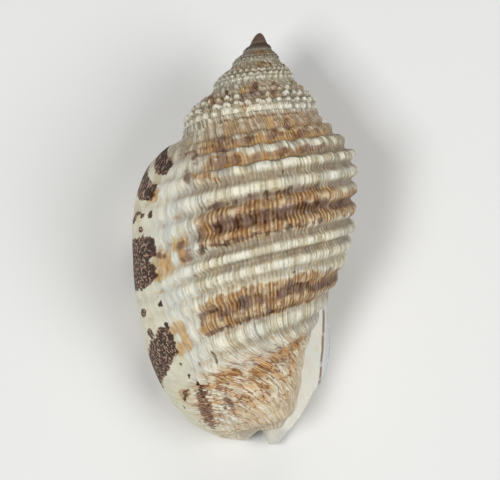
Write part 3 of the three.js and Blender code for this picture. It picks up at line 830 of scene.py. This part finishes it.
DARK_SPOTS = [
    [56, 5.45, 3, 0.22, 0], [65, 5.5, 2, 0.14, 0], [69, 5.45, 1.2, 0.13, 0], [74, 5.45, 3, 0.2, 0],
    [77.5, 5.45, 1.5, 0.14, 0], [87, 5.45, 1.5, 0.2, 0], [96, 5.45, 1.6, 0.22, 0], [113, 5.5, 2.2, 0.24, 0],
    [110, 6.2, 1.4, 0.4, 0], [101, 7.15, 2, 0.15, 0], [107, 7.2, 2.2, 0.14, 0], [121, 7.15, 1.5, 0.28, 0],
    [75, 7.1, 2, 0.22, 0], [92, 7.1, 3, 0.12, 0], [56, 7.1, 3, 0.14, 0], [122, 6.5, 1.6, 0.36, 0],
    [133.5, 6.65, 2.8, 0.2, -0.2], [128.5, 7.0, 1.2, 0.28, 0], [128.5, 7.35, 1.8, 0.14, 0],
    [131.5, 7.3, 1.8, 0.14, 0], [126.3, 8.37, 1.0, 0.10, 0], [69, 9.62, 1.5, 0.10, 0],
    [127.5, 10.6, 1.5, 0.3, 0.1], [115, 10.75, 1.8, 0.35, 0], [66, 11.3, 1.4, 0.18, -1.5],
    [100, 11.35, 3, 0.12, 0], [84, 11.2, 2.2, 0.3, -1.2], [72, 10.2, 3.5, 0.25, -0.3],
    [116, 2.55, 5, 0.38, -0.6], [67, 1.35, 3.5, 0.55, 0.4], [80, 2.1, 2.5, 0.3, 0], [98, 2.2, 3, 0.22, 0],
    [60, 2.35, 5, 0.2, 0], [113, 3.25, 4, 0.22, 0.3], [104, 3.35, 3, 0.14, 0], [132, 2.75, 5, 0.2, -0.9],
    [131, 3.75, 4, 0.22, -1.0], [118, 1.9, 3, 0.45, -0.8], [78, 3.35, 2.5, 0.16, 0], [62, 3.35, 5, 0.14, 0],
    [92, 3.38, 3, 0.14, 0], [77.5, 4.45, 0.9, 0.16, -0.4], [147, 6.75, 4, 0.12, -0.3],
    [-266, 1.9, 5, 1.3, 0.1], [-260, 3.0, 6, 0.35, 0], [-271, 3.0, 5, 0.4, 0], [-292, 1.5, 4, 0.8, 0],
    [-286, 3.2, 6, 0.2, 0], [-234, 2.1, 3, 0.4, 0], [-219, 4.0, 5, 0.25, 0], [-226, 3.1, 4, 0.3, 0],
    [-327, 0.9, 4, 0.3, 0], [-212, 2.4, 8, 0.5, 0], [-640, 1.0, 8, 0.3, 0], [-656, 1.5, 4, 0.7, 0],
    [-632, 2.2, 5, 0.25, 0], [-1000, 1.5, 10, 0.6, 0], [-700, 2.0, 5, 0.4, 0], [-595, 4.2, 4, 0.3, 0],
    [-286, 2.9, 7, 0.45, 0], [124, 15.0, 3.5, 0.45, -1.0], [130.5, 15.2, 2, 0.12, 0],
    [141, 13.9, 3, 0.12, 0.3], [137.5, 14.4, 2, 0.12, 0], [140.5, 15.4, 2, 0.1, 0],
    [126, 12.5, 1.6, 0.28, -1.6], [120, 14.0, 2, 0.1, 0], [112, 15.1, 3, 0.1, 0.3], [140, 12.4, 1.2, 0.12, 0],
]
LINE_DARKNESS = 0.62
TAN_CORD = 1.1
TAN_HALF_WIDTH = 1.7

orange = np.maximum(stretches(ORANGE_STRETCHES), spots(ORANGE_SPOTS))
dark = np.maximum(stretches(DARK_STRETCHES), spots(DARK_SPOTS))
dark = np.maximum(dark, LINE_DARKNESS * stretches(DARK_LINES))
add_attribute("orange", orange)
add_attribute("dark", dark)
tan_middle = TAN_CORD + 0.5 * smooth(point_angle, 95, 125)
tan = np.clip(1.15 - ((point_cord - tan_middle) / TAN_HALF_WIDTH) ** 2, 0, 1)
tan *= smooth(point_cord, 0.05, 0.35)
tan *= 1 - 0.6 * smooth(point_angle, 125, 152)
tan *= 1 - on_spire * (0.5 - 0.25 * np.sin(point_angle * 0.09 + 1.0))
add_attribute("tan", tan)
print("points with orange and with dark:", (orange > 0.5).sum(), (dark > 0.5).sum())

# %% Blotches on the lip, the mottled front end and the hatchling's shell
BLOTCHES = [
    [165, 2.18, 16, 0.42, -0.5], [166, 3.34, 16, 0.42, -0.42], [169, 6.25, 19, 0.6, 0],
    [169, 7.3, 19, 0.62, 0], [168, 11.45, 17, 0.8, 0.42],
]
BLOTCH_SPOTS = [
    [151.8, 4.9, 0.9, 0.24, 0], [163, 4.85, 4, 0.14, 0.2], [160, 4.62, 3, 0.10, 0], [156, 4.8, 1.5, 0.08, 0],
    [157, 5.35, 1.5, 0.15, 0], [150.5, 9.05, 0.9, 0.26, 0.3], [163, 9.15, 3.5, 0.24, 0.3],
    [163, 10.2, 2.6, 0.22, 0.2], [151.3, 10.15, 1.2, 0.16, 0], [151.3, 12.65, 1.0, 0.13, -0.3],
    [153.7, 12.0, 0.9, 0.10, 0], [154.3, 13.2, 0.9, 0.10, 0], [157, 13.35, 1.6, 0.2, 0],
    [159.5, 13.55, 1.4, 0.12, 0], [164, 13.95, 1.4, 0.14, 0.3], [146, 13.2, 2.4, 0.09, 0],
    [150.5, 14.75, 9, 1.1, 1.0], [143, 14.6, 2, 0.2, 0.2], [161, 15.0, 2, 0.15, 0.4],
]

blotch = np.maximum(stretches(BLOTCHES), spots(BLOTCH_SPOTS))
blotch *= 1 - 0.32 * smooth(point_cord, 13.6, 14.2)
add_attribute("blotch", blotch)
front = smooth(point_cord, 12.5, 13.6) * smooth(point_angle, 10, 55) * (1 - smooth(point_angle, 144, 168))
front *= 1 - 0.6 * smooth(point_cord, 15.2, 16.6)
low_front = smooth(point_angle, 60, 90) * (1 - smooth(point_angle, 165, 185))
low_front *= 0.6 * smooth(point_cord, 15.2, 16.4)
add_attribute("front", np.maximum(front, low_front))
add_attribute("hatchling", np.concatenate([
    1 - smooth(point_angle, -1500, -750), np.zeros(hollow_ids.size), np.ones(dome_ids.size + 1)
]))
print("points in the lip's blotches:", (blotch > 0.5).sum())

# %% [markdown]
# ## Tools for the paint
#
# Materials are networks of nodes. Short helpers add a node, link or set an input, do one piece of
# arithmetic, blend two colours or cut noise into a mask, so each line of the networks reads as one step.


# %% Helpers for nodes
def linear(red, green, blue):
    """Colour from 0 to 255 as seen on a screen, changed to the linear light that shaders use."""
    shares = np.array([red, green, blue]) / 255
    light = np.where(shares < 0.04045, shares / 12.92, ((shares + 0.055) / 1.055) ** 2.4)
    return (*light.tolist(), 1.0)


def put(tree, value, socket):
    """Links an output to a socket, or sets the socket to a number or to a screen colour."""
    if isinstance(value, bpy.types.NodeSocket):
        tree.links.new(value, socket)
    elif isinstance(value, tuple):
        socket.default_value = linear(*value)
    else:
        socket.default_value = value


def add_node(tree, kind, inputs=None, **settings):
    """Adds a node, sets its settings, and fills the inputs named or numbered."""
    made = tree.nodes.new(kind)
    for name, value in settings.items():
        setattr(made, name, value)
    for name, value in (inputs or {}).items():
        put(tree, value, made.inputs[name])
    return made


def calc(tree, operation, *values, clamp=False):
    """One step of arithmetic on numbers."""
    numbered = dict(enumerate(values))
    return add_node(tree, "ShaderNodeMath", numbered, operation=operation, use_clamp=clamp).outputs[0]


def times(tree, product, *factors):
    """Product of two or more numbers."""
    for factor in factors:
        product = calc(tree, "MULTIPLY", product, factor)
    return product


def total(tree, result, *terms):
    """Sum of two or more numbers."""
    for term in terms:
        result = calc(tree, "ADD", result, term)
    return result


def straight(tree, value, slope, start):
    """A straight line's height: the slope times the value, plus the start."""
    return calc(tree, "MULTIPLY_ADD", value, slope, start)


def left_over(tree, share):
    """What is left of 1 beside a share."""
    return calc(tree, "SUBTRACT", 1.0, share)


def ramp(tree, value, low, high, start=0.0, end=1.0):
    """Follows an S-curve from start to end while the value goes from low to high."""
    inputs = {"Value": value, "From Min": low, "From Max": high, "To Min": start, "To Max": end}
    return add_node(tree, "ShaderNodeMapRange", inputs, interpolation_type="SMOOTHSTEP").outputs[0]


def tint(tree, share, first, second, strength=1.0):
    """Blends two colours: the first where the share is 0, and the second, by its strength, where it is 1."""
    if strength < 1:
        share = times(tree, share, strength)
    return add_node(tree, "ShaderNodeMix", {0: share, 6: first, 7: second}, data_type="RGBA").outputs[2]


def vector(tree, across, upward):
    """A vector from two numbers."""
    return add_node(tree, "ShaderNodeCombineXYZ", {"X": across, "Y": upward}).outputs[0]


def noise(tree, place, scale, detail=2.0, roughness=0.5):
    """Cloudy noise from 0 to 1 at a vector."""
    inputs = {"Vector": place, "Scale": scale, "Detail": detail, "Roughness": roughness}
    return add_node(tree, "ShaderNodeTexNoise", inputs).outputs["Fac"]


def patches(tree, place, scale, low, high, detail=2.0, roughness=0.5, start=0.0, end=1.0):
    """A mask cut from cloudy noise: start where the noise is under low, end where it is over high."""
    return ramp(tree, noise(tree, place, scale, detail, roughness), low, high, start, end)


def white_noise(tree, place, dimensions):
    """A random number from 0 to 1 for each value of a number, 1D, or of a vector, 2D."""
    inputs = {"W" if dimensions == "1D" else "Vector": place}
    made = add_node(tree, "ShaderNodeTexWhiteNoise", inputs, noise_dimensions=dimensions)
    return made.outputs["Value"]


def attribute(tree, name):
    """A point attribute of the mesh, as a number."""
    return add_node(tree, "ShaderNodeAttribute", attribute_name=name).outputs["Fac"]


def new_group(name, inputs, outputs):
    """An empty shader node group with named inputs, each with a kind and a first value, and outputs."""
    tree = bpy.data.node_groups.new(name, "ShaderNodeTree")
    for label, (kind, first) in inputs.items():
        socket = tree.interface.new_socket(label, in_out="INPUT", socket_type=kind)
        if first is not None:
            put(tree, first, socket)
    for label, kind in outputs.items():
        tree.interface.new_socket(label, in_out="OUTPUT", socket_type=kind)
    given = tree.nodes.new("NodeGroupInput").outputs
    result = tree.nodes.new("NodeGroupOutput").inputs
    return tree, given, result


def use_group(tree, group, inputs):
    """Places a group in a material and fills its inputs; returns its outputs."""
    made = tree.nodes.new("ShaderNodeGroup")
    made.node_tree = group
    for name, value in inputs.items():
        put(tree, value, made.inputs[name])
    return made.outputs


def new_material(name):
    """A material, its tree, the inputs of its one shader, and the object's coordinates in millimetres."""
    made = bpy.data.materials.new(name)
    made.use_nodes = True
    tree = made.node_tree
    place = add_node(tree, "ShaderNodeTexCoord").outputs["Object"]
    place_mm = add_node(tree, "ShaderNodeVectorMath", {0: place, "Scale": 1 / MM}, operation="SCALE")
    return made, tree, tree.nodes["Principled BSDF"].inputs, place_mm.outputs[0]


def add_relief(tree, surface, height, strength, depth_mm):
    """Tilts the shader's normals as a height map of the given depth would."""
    inputs = {"Height": height, "Strength": strength, "Distance": depth_mm * MM}
    put(tree, add_node(tree, "ShaderNodeBump", inputs).outputs[0], surface["Normal"])


NUMBER = "NodeSocketFloat"
VECTOR = "NodeSocketVector"
COLOUR = "NodeSocketColor"
print("a cream of 238, 231, 200 on the screen, in linear light:", linear(238, 231, 200))

# %% [markdown]
# ## Growth lamellae
#
# The shell grows by thin edges, about 150 to a turn, that stay as fine upright scales. They are too many to
# model, so a wave along the coil gives their height. Each lamella breaks into short scales, two to a cord
# and out of step with its neighbours', and each scale gets its own strength from a random number. In the
# valleys the lamellae hang back a little, and noise keeps them from being ruled lines.

# %% Group: lamellae
lamellae, given, result = new_group(
    "growth_lamellae",
    {"Growth": (NUMBER, 0.0), "Cord": (NUMBER, 0.0), "Valley": (NUMBER, 0.0), "Count": (NUMBER, 153.0),
     "Curl": (NUMBER, 0.12), "Wander": (NUMBER, 0.9)},
    {"Ridge": NUMBER, "Scale": NUMBER, "Strength": NUMBER},
)
slow_place = vector(lamellae, times(lamellae, given["Growth"], 50.0), times(lamellae, given["Cord"], 0.3))
slow = calc(lamellae, "SUBTRACT", noise(lamellae, slow_place, 1.0, 1.0), 0.5)
phase = total(
    lamellae, times(lamellae, given["Growth"], given["Count"]),
    times(lamellae, given["Valley"], given["Curl"]), times(lamellae, slow, given["Wander"]),
)
wave = straight(lamellae, calc(lamellae, "SINE", times(lamellae, phase, 2 * np.pi)), 0.5, 0.5)
number = calc(lamellae, "FLOOR", total(lamellae, phase, 0.25))
stagger = white_noise(lamellae, number, "1D")
zone = calc(lamellae, "ROUND", straight(lamellae, given["Cord"], 2.0, stagger))
strength = white_noise(lamellae, vector(lamellae, number, zone), "2D")
patch_place = vector(lamellae, times(lamellae, phase, 0.28), given["Cord"])
patchy = patches(lamellae, patch_place, 1.6, 0.38, 0.58, start=0.2)
put(lamellae, times(lamellae, wave, straight(lamellae, strength, 0.5, 0.5), patchy), result["Ridge"])
clump_place = vector(lamellae, times(lamellae, phase, 0.5), calc(lamellae, "ROUND", given["Cord"]))
clump = patches(lamellae, clump_place, 1.1, 0.44, 0.56, 2.0, 0.6)
crest = left_over(lamellae, calc(lamellae, "MULTIPLY", given["Valley"], 1.6, clamp=True))
put(lamellae, times(lamellae, clump, crest), result["Scale"])
put(lamellae, strength, result["Strength"])
print("nodes in the lamellae group:", len(lamellae.nodes))

# %% [markdown]
# ## Ragged marks
#
# A soft field becomes a mark with a crisp, uneven edge when noise is added to it and the sum is cut near
# one half. Pigment is laid down with each growth edge, so the random number of every scale joins the noise.
# The same group serves the bands, the spots and the blotches.

# %% Group: ragged mark
ragged, given, result = new_group(
    "ragged_mark",
    {"Field": (NUMBER, 0.0), "Vector": (VECTOR, None), "Random": (NUMBER, 0.5), "Scale": (NUMBER, 1.0),
     "Unevenness": (NUMBER, 0.6), "Jitter": (NUMBER, 0.0), "Softness": (NUMBER, 0.08)},
    {"Mark": NUMBER},
)
cloudy = calc(ragged, "SUBTRACT", noise(ragged, given["Vector"], given["Scale"], 3.0, 0.6), 0.5)
jitter = times(ragged, calc(ragged, "SUBTRACT", given["Random"], 0.5), given["Jitter"])
uneven = total(ragged, times(ragged, cloudy, given["Unevenness"]), jitter)
level = total(ragged, given["Field"], times(ragged, uneven, ramp(ragged, given["Field"], 0.0, 0.3)))
low = calc(ragged, "SUBTRACT", 0.5, given["Softness"])
high = total(ragged, 0.5, given["Softness"])
put(ragged, ramp(ragged, level, low, high), result["Mark"])
print("nodes in the ragged mark group:", len(ragged.nodes))

# %% [markdown]
# ## Shell white
#
# Shell is never plain white: it shifts between cream and a cool white in patches of several millimetres,
# with smaller warm stains. Both materials start from it, so it is a group with its three colours as inputs.

# %% Group: shell white
shell_white, given, result = new_group(
    "shell_white",
    {"Vector": (VECTOR, None), "Cream": (COLOUR, (238, 231, 200)), "Cool": (COLOUR, (216, 219, 208)),
     "Warm": (COLOUR, (228, 204, 150))},
    {"Color": COLOUR},
)
cool = patches(shell_white, given["Vector"], 0.16, 0.42, 0.62, 4.0, 0.6)
stain = patches(shell_white, given["Vector"], 0.45, 0.5, 0.75, 3.0)
white = tint(shell_white, cool, given["Cream"], given["Cool"])
put(shell_white, tint(shell_white, stain, white, given["Warm"], 0.5), result["Color"])
print("groups:", [group.name for group in bpy.data.node_groups])

# %% [markdown]
# ## The sculptured surface
#
# Cream white on the crests, greyer in the valleys, with light lamellae and darker gaps between them. The
# grey of the valleys and gaps is partly painted shade, the pits and the darker upper cords are painted
# shade, and the lighter scales and beads are partly painted highlight. Over that lie tan, orange and dark
# brown, each in two tones because the pigment is darker between lamellae than on their edges. On the lip
# the marks turn to maroon with light flecks that follow the growth. All of it is drawn in millimetres
# along the growth and across it, so that a factor under 1 draws a mark out.

# %% Material: sculptured shell, places and masks
TURN_MM = 88.0
CORD_MM = 2.7

sculptured, tree, surface, object_mm = new_material("sculptured_shell")
uv = add_node(tree, "ShaderNodeUVMap", uv_map="coil").outputs[0]
place = add_node(tree, "ShaderNodeSeparateXYZ", {0: uv}).outputs
growth_place, cord_place = place["X"], times(tree, place["Y"], float(LAST_CORD))
growth_mm = times(tree, growth_place, TURN_MM)
cord_mm = times(tree, cord_place, CORD_MM)


def spread(upward, forward=1.0):
    """Place in mm along the growth and across it, each times a factor."""
    return vector(tree, times(tree, growth_mm, forward), times(tree, cord_mm, upward))


coil_mm = spread(1.0)
streak_mm = spread(0.35)
patch_mm = spread(0.7)
lip_share = attribute(tree, "lip")
on_whorl = left_over(tree, lip_share)
scallop = straight(tree, noise(tree, spread(0.5), 0.9), 1.6, 0.2)
valley_share = calc(tree, "MULTIPLY", attribute(tree, "valley"), scallop, clamp=True)
grown = use_group(tree, lamellae, {"Growth": growth_place, "Cord": cord_place, "Valley": valley_share})
ridge = grown["Ridge"]
clump = calc(tree, "MAXIMUM", grown["Scale"], ramp(tree, attribute(tree, "bead_and_highlight"), 0.3, 0.8))
front_calm = ramp(tree, cord_place, 12.4, 14.0, 1.0, 0.15)


def mark(name, place, scale, unevenness, jitter, softness):
    """Mask of one kind of mark: its field on the points, made ragged."""
    return use_group(tree, ragged, {
        "Field": attribute(tree, name), "Vector": place, "Random": grown["Strength"], "Scale": scale,
        "Unevenness": unevenness, "Jitter": jitter, "Softness": softness,
    })["Mark"]


orange_mark = mark("orange", streak_mm, 0.7, 1.5, 0.5, 0.25)
dark_mark = mark("dark", coil_mm, 1.2, 1.7, 0.35, 0.3)
blotch_mark = mark("blotch", coil_mm, 1.5, 0.9, 0.15, 0.08)
blotch_heart = mark("blotch", coil_mm, 1.5, 0.9, 0.15, 0.3)
even_paint = calc(tree, "MAXIMUM", times(tree, lip_share, 0.85), ramp(tree, cord_place, 3.4, 4.4, 0.5, 0.0))
paint_ridge = total(tree, times(tree, ridge, left_over(tree, even_paint)), times(tree, even_paint, 0.7))
print("nodes for places and masks:", len(tree.nodes))

# %% Material: sculptured shell, ground
ground = use_group(tree, shell_white, {"Vector": object_mm})["Color"]
cool_lip = times(tree, lip_share, ramp(tree, cord_place, 12.5, 14.0, 0.8, 0.1))
ground = tint(tree, cool_lip, ground, (218, 222, 214))
ground = tint(tree, attribute(tree, "rim"), ground, (234, 230, 200), 0.85)
lip_streak = times(tree, patches(tree, streak_mm, 0.8, 0.48, 0.68), lip_share)
ground = tint(tree, lip_streak, ground, (226, 202, 150), 0.55)
warm = times(tree, ramp(tree, cord_place, 12.5, 14.5), on_whorl)
ground = tint(tree, warm, ground, (224, 200, 160), 0.7)

window = patches(tree, spread(0.6), 0.75, 0.42, 0.58)
# Greyer valleys: partly the shell's own grey, partly painted shade in the recesses between the cords.
valley_tone_and_shade = tint(tree, window, (190, 181, 164), (138, 128, 124))
ground = tint(tree, valley_share, ground, valley_tone_and_shade, 0.85)
# Painted shade in the pits between the beads and beside the suture.
ground = tint(tree, attribute(tree, "pit_shade"), ground, (142, 132, 128), 0.6)
foot = times(
    tree, ramp(tree, valley_share, 0.08, 0.3), ramp(tree, valley_share, 0.35, 0.75, 1.0, 0.0),
    patches(tree, coil_mm, 0.9, 0.5, 0.64, 3.0, 0.6),
)
ground = tint(tree, foot, ground, (186, 144, 84), 0.6)
worn = times(tree, patches(tree, spread(1.2), 0.75, 0.52, 0.66, 3.0, 0.65), on_whorl)
ground = tint(tree, worn, ground, (178, 162, 128), 0.55)
# Painted shade: the upper cords near the suture and on the spire darker, less on the scales.
upper_painted_shade = times(tree, ramp(tree, cord_place, 3.0, 5.6, 1.0, 0.0), on_whorl, straight(tree, clump, -0.35, 0.45))
ground = tint(tree, upper_painted_shade, ground, (128, 108, 80))

# Darker gaps between the lamellae: partly the shell's own colour, partly painted shade, deeper in the valleys
# and less on the scales.
gap_shade_depth = times(
    tree, straight(tree, valley_share, 0.3, 0.42), on_whorl, straight(tree, clump, -0.8, 1.0), front_calm
)
ground = tint(tree, times(tree, left_over(tree, ridge), gap_shade_depth), ground, (138, 116, 84))
# Scales and beads lighter: partly their own cream, partly painted highlight.
ground = tint(tree, clump, ground, (244, 240, 222), 0.6)
print("nodes with the ground:", len(tree.nodes))

# %% Material: sculptured shell, pigment
tan_mark = times(tree, attribute(tree, "tan"), patches(tree, streak_mm, 0.5, 0.3, 0.6, start=0.25))
tan_colour = tint(tree, paint_ridge, (120, 80, 46), (220, 188, 144))
colour = tint(tree, tan_mark, ground, tan_colour, 0.9)

gold = patches(tree, streak_mm, 1.3, 0.4, 0.62)
orange_light = tint(tree, gold, (238, 214, 162), (228, 174, 98))
orange_colour = tint(tree, paint_ridge, (126, 74, 28), orange_light)
cream_scale = times(tree, clump, patches(tree, coil_mm, 0.6, 0.45, 0.6, end=0.55))
orange_colour = tint(tree, cream_scale, orange_colour, (240, 220, 176))
colour = tint(tree, orange_mark, colour, orange_colour, 0.88)

front_share = attribute(tree, "front")
wash_mark = times(tree, front_share, patches(tree, patch_mm, 0.5, 0.45, 0.58, 4.0, 0.7))
wash_colour = tint(tree, ridge, (188, 136, 80), (238, 202, 150))
colour = tint(tree, wash_mark, colour, wash_colour, 0.8)
vein = calc(tree, "ABSOLUTE", calc(tree, "SUBTRACT", noise(tree, patch_mm, 0.6, 2.0, 0.55), 0.5))
vein = times(tree, ramp(tree, vein, 0.01, 0.04, 1.0, 0.0), front_share)
colour = tint(tree, vein, colour, (132, 76, 40), 0.8)

dark_colour = tint(tree, paint_ridge, (44, 23, 13), (150, 104, 72))
dark_colour = tint(tree, window, dark_colour, (162, 140, 130), 0.5)
colour = tint(tree, dark_mark, colour, dark_colour, 0.86)

flecks = patches(tree, spread(ramp(tree, cord_place, 4.0, 5.5, 0.35, 1.0), 1.3), 2.6, 0.52, 0.58, 2.0, 0.6)
fleck_share = ramp(tree, attribute(tree, "rim"), 0.6, 1.0, 0.05)
fleck_share = calc(tree, "MAXIMUM", fleck_share, ramp(tree, cord_place, 13.0, 14.0))
front_blotch = ramp(tree, cord_place, 13.6, 14.4)
blotch_dark = tint(tree, front_blotch, (44, 12, 8), (92, 50, 36))
blotch_colour = tint(tree, times(tree, flecks, fleck_share), blotch_dark, (186, 152, 130))
blotch_colour = tint(tree, blotch_heart, (124, 66, 36), blotch_colour)
blotch_cover = times(tree, blotch_mark, straight(tree, front_blotch, -0.08, 0.95))
colour = tint(tree, blotch_cover, colour, blotch_colour)
hatchling_share = attribute(tree, "hatchling")
colour = tint(tree, hatchling_share, colour, (82, 52, 36), 0.92)
put(tree, colour, surface["Base Color"])
print("nodes with the pigment:", len(tree.nodes))

# %% Material: sculptured shell, gloss and fine relief
surface["Specular IOR Level"].default_value = 0.15
rough = straight(tree, noise(tree, object_mm, 1.2, 3.0), 0.2, 0.3)
rough = total(tree, rough, times(tree, lip_share, -0.1), times(tree, blotch_mark, 0.35))
put(tree, rough, surface["Roughness"])

scales = times(tree, ridge, straight(tree, on_whorl, 0.85, 0.15), front_calm)
scales = times(tree, scales, left_over(tree, hatchling_share))
raised = times(tree, clump, on_whorl, 0.9)
lumps = times(tree, noise(tree, spread(0.7, 1.2), 0.9), 2.6)
grain = times(tree, noise(tree, object_mm, 3.0, 4.0, 0.6), 0.4)
add_relief(tree, surface, total(tree, scales, raised, lumps, grain), 1.0, 0.18)
shell_mesh.materials.append(sculptured)
print("nodes in the sculptured material:", len(tree.nodes))

# %% [markdown]
# ## The glazed shield
#
# The animal's mantle polishes the shield, the teeth and the throat: nearly white, glossier, and almost
# without relief. On the flange's upper side a fine brown line runs lengthwise, about a millimetre inside
# the free edge, with a cooler white outside it. The tip beside the notch is a little greyer, as painted
# shade.

# %% How far the flange reaches past its line
LINE_ACROSS = 11.65
LINE_BOW = 0.0055
LINE_START = 37
shield_points = placed[1]
upper_side = np.arange(SHIELD_POINTS) <= SHIELD_POINTS // 2
upper = np.append(np.tile(upper_side, len(shield_rings)), [0, 0])
below_apex = SHIFT[1] - shield_points[:, 1]
line_across = LINE_ACROSS - LINE_BOW * np.maximum(0, below_apex - LINE_START) ** 2
past = np.minimum(shield_points[:, 0] - line_across, 5)
add_attribute("past_line", past, starts[1])
add_attribute("line", upper * smooth(below_apex, 36.8, 38.3) * (1 - smooth(below_apex, 49, 50.5)), starts[1])
add_attribute("flange", upper, starts[1])
# Share of the tip beside the notch, which gets painted shade.
add_attribute("nose", smooth(below_apex, 55.4, 56.6), starts[1])
print("points on the flange's upper side, past the line:", (upper * (past > 0)).sum())

# %% Material: glazed shield
glazed, tree, surface, object_mm = new_material("glazed_shield")
enamel = use_group(tree, shell_white, {
    "Vector": object_mm, "Cream": (250, 246, 230), "Cool": (243, 245, 238), "Warm": (244, 230, 204),
})["Color"]
waver = straight(tree, noise(tree, object_mm, 0.25), 0.6, -0.3)
past_line = total(tree, attribute(tree, "past_line"), waver)
outside = times(tree, ramp(tree, past_line, 0.0, 0.5), attribute(tree, "flange"))
enamel = tint(tree, outside, enamel, (206, 214, 218), 0.7)
# Painted shade: the tip beside the notch a little greyer.
enamel = tint(tree, attribute(tree, "nose"), enamel, (178, 174, 162), 0.55)
line_mark = ramp(tree, calc(tree, "ABSOLUTE", past_line), 0.08, 0.26, 1.0, 0.0)
broken = patches(tree, object_mm, 0.6, 0.25, 0.45, start=0.3)
line_mark = times(tree, line_mark, broken, attribute(tree, "line"))
enamel = tint(tree, line_mark, enamel, (124, 74, 42), 0.85)
put(tree, enamel, surface["Base Color"])
put(tree, straight(tree, noise(tree, object_mm, 0.8, 3.0), 0.15, 0.18), surface["Roughness"])
add_relief(tree, surface, times(tree, noise(tree, object_mm, 1.5, 3.0), 0.6), 0.5, 0.08)
shell_mesh.materials.append(glazed)
print("materials:", [material.name for material in shell_mesh.materials])

# %% [markdown]
# ## Camera
#
# The photograph looks down on the shell from far away, so a long lens suits it. The camera could be moved
# until the picture fits, but the scale is known: one pixel covers 0.1456 mm. That gives the distance, and
# the apex must fall on its own pixel, which gives the point that the camera looks at.

# %% Camera
PIXEL = 0.1456
ELEVATION = 74
LENS = 250
SENSOR = 36
IMAGE_WIDTH, IMAGE_HEIGHT = 500, 480
APEX_ACROSS, APEX_DOWN = 260, 33

lean = np.radians(ELEVATION)
to_right = np.array([1, 0, 0])
to_top = np.array([0, np.sin(lean), np.cos(lean)])
towards = np.array([0, -np.cos(lean), np.sin(lean)])
apex = np.array([SHIFT[0], SHIFT[1], APEX_HEIGHT])
middle = apex + PIXEL * (IMAGE_WIDTH / 2 - APEX_ACROSS) * to_right
middle = middle - PIXEL * (IMAGE_HEIGHT / 2 - APEX_DOWN) * to_top
distance = PIXEL * IMAGE_WIDTH * LENS / SENSOR

camera = add_object("camera", bpy.data.cameras.new("camera"))
bpy.context.scene.camera = camera
camera.data.lens = LENS
camera.data.sensor_width = SENSOR
camera.data.clip_start = 0.01
camera.location = (middle + towards * distance) * MM
camera.rotation_euler = (np.radians(90 - ELEVATION), 0, 0)
print("camera distance in mm:", round(distance))

# %% [markdown]
# ## Floor and light
#
# A studio table of pale matt paper, wide enough to fill every view. Three soft boxes light it: a key from
# the upper left, a wider and weaker fill from the right, and one behind the apex that picks out the beads
# of the spire. A faint even world light keeps the shadows open.

# %% Floor
floor_mesh = bpy.data.meshes.new("floor")
floor_mesh.from_pydata([(-2, -2, 0), (2, -2, 0), (2, 2, 0), (-2, 2, 0)], [], [(0, 1, 2, 3)])
floor = add_object("floor", floor_mesh)
paper, tree, surface, object_mm = new_material("pale_paper")
cloud = noise(tree, object_mm, 0.006, 3.0)
put(tree, tint(tree, cloud, (230, 230, 228), (234, 234, 232)), surface["Base Color"])
put(tree, ramp(tree, cloud, 0.3, 0.7, 0.7, 0.8), surface["Roughness"])
floor_mesh.materials.append(paper)
print("floor corners in metres:", [tuple(vertex.co) for vertex in floor_mesh.vertices])


# %% Soft boxes
def softbox(name, place, size, power):
    """A square lamp at a place in metres, turned so that it faces the origin; power is in watts."""
    data = bpy.data.lights.new(name, "AREA")
    data.size = size
    data.energy = power
    lamp = add_object(name, data)
    lamp.location = place
    lamp.rotation_euler = (-Vector(place)).to_track_quat("-Z", "Y").to_euler()
    return lamp


lamps = [
    softbox("key", (-0.28, -0.20, 0.60), 0.22, 2.45),
    softbox("fill", (0.40, -0.16, 0.50), 0.36, 2.1),
    softbox("top", (0.04, 0.45, 0.42), 0.22, 0.55),
]
world = bpy.data.worlds.new("even_light")
world.use_nodes = True
background = world.node_tree.nodes["Background"]
background.inputs["Color"].default_value = (0.85, 0.86, 0.88, 1)
background.inputs["Strength"].default_value = 0.16
bpy.context.scene.world = world
bpy.context.scene.view_settings.view_transform = "Standard"
print("lamps:", [lamp.name for lamp in lamps])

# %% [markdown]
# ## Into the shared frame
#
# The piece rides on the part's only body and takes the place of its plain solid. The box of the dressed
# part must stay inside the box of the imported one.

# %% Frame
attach(shell_piece, "root")
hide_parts("shell")
bpy.context.view_layer.update()
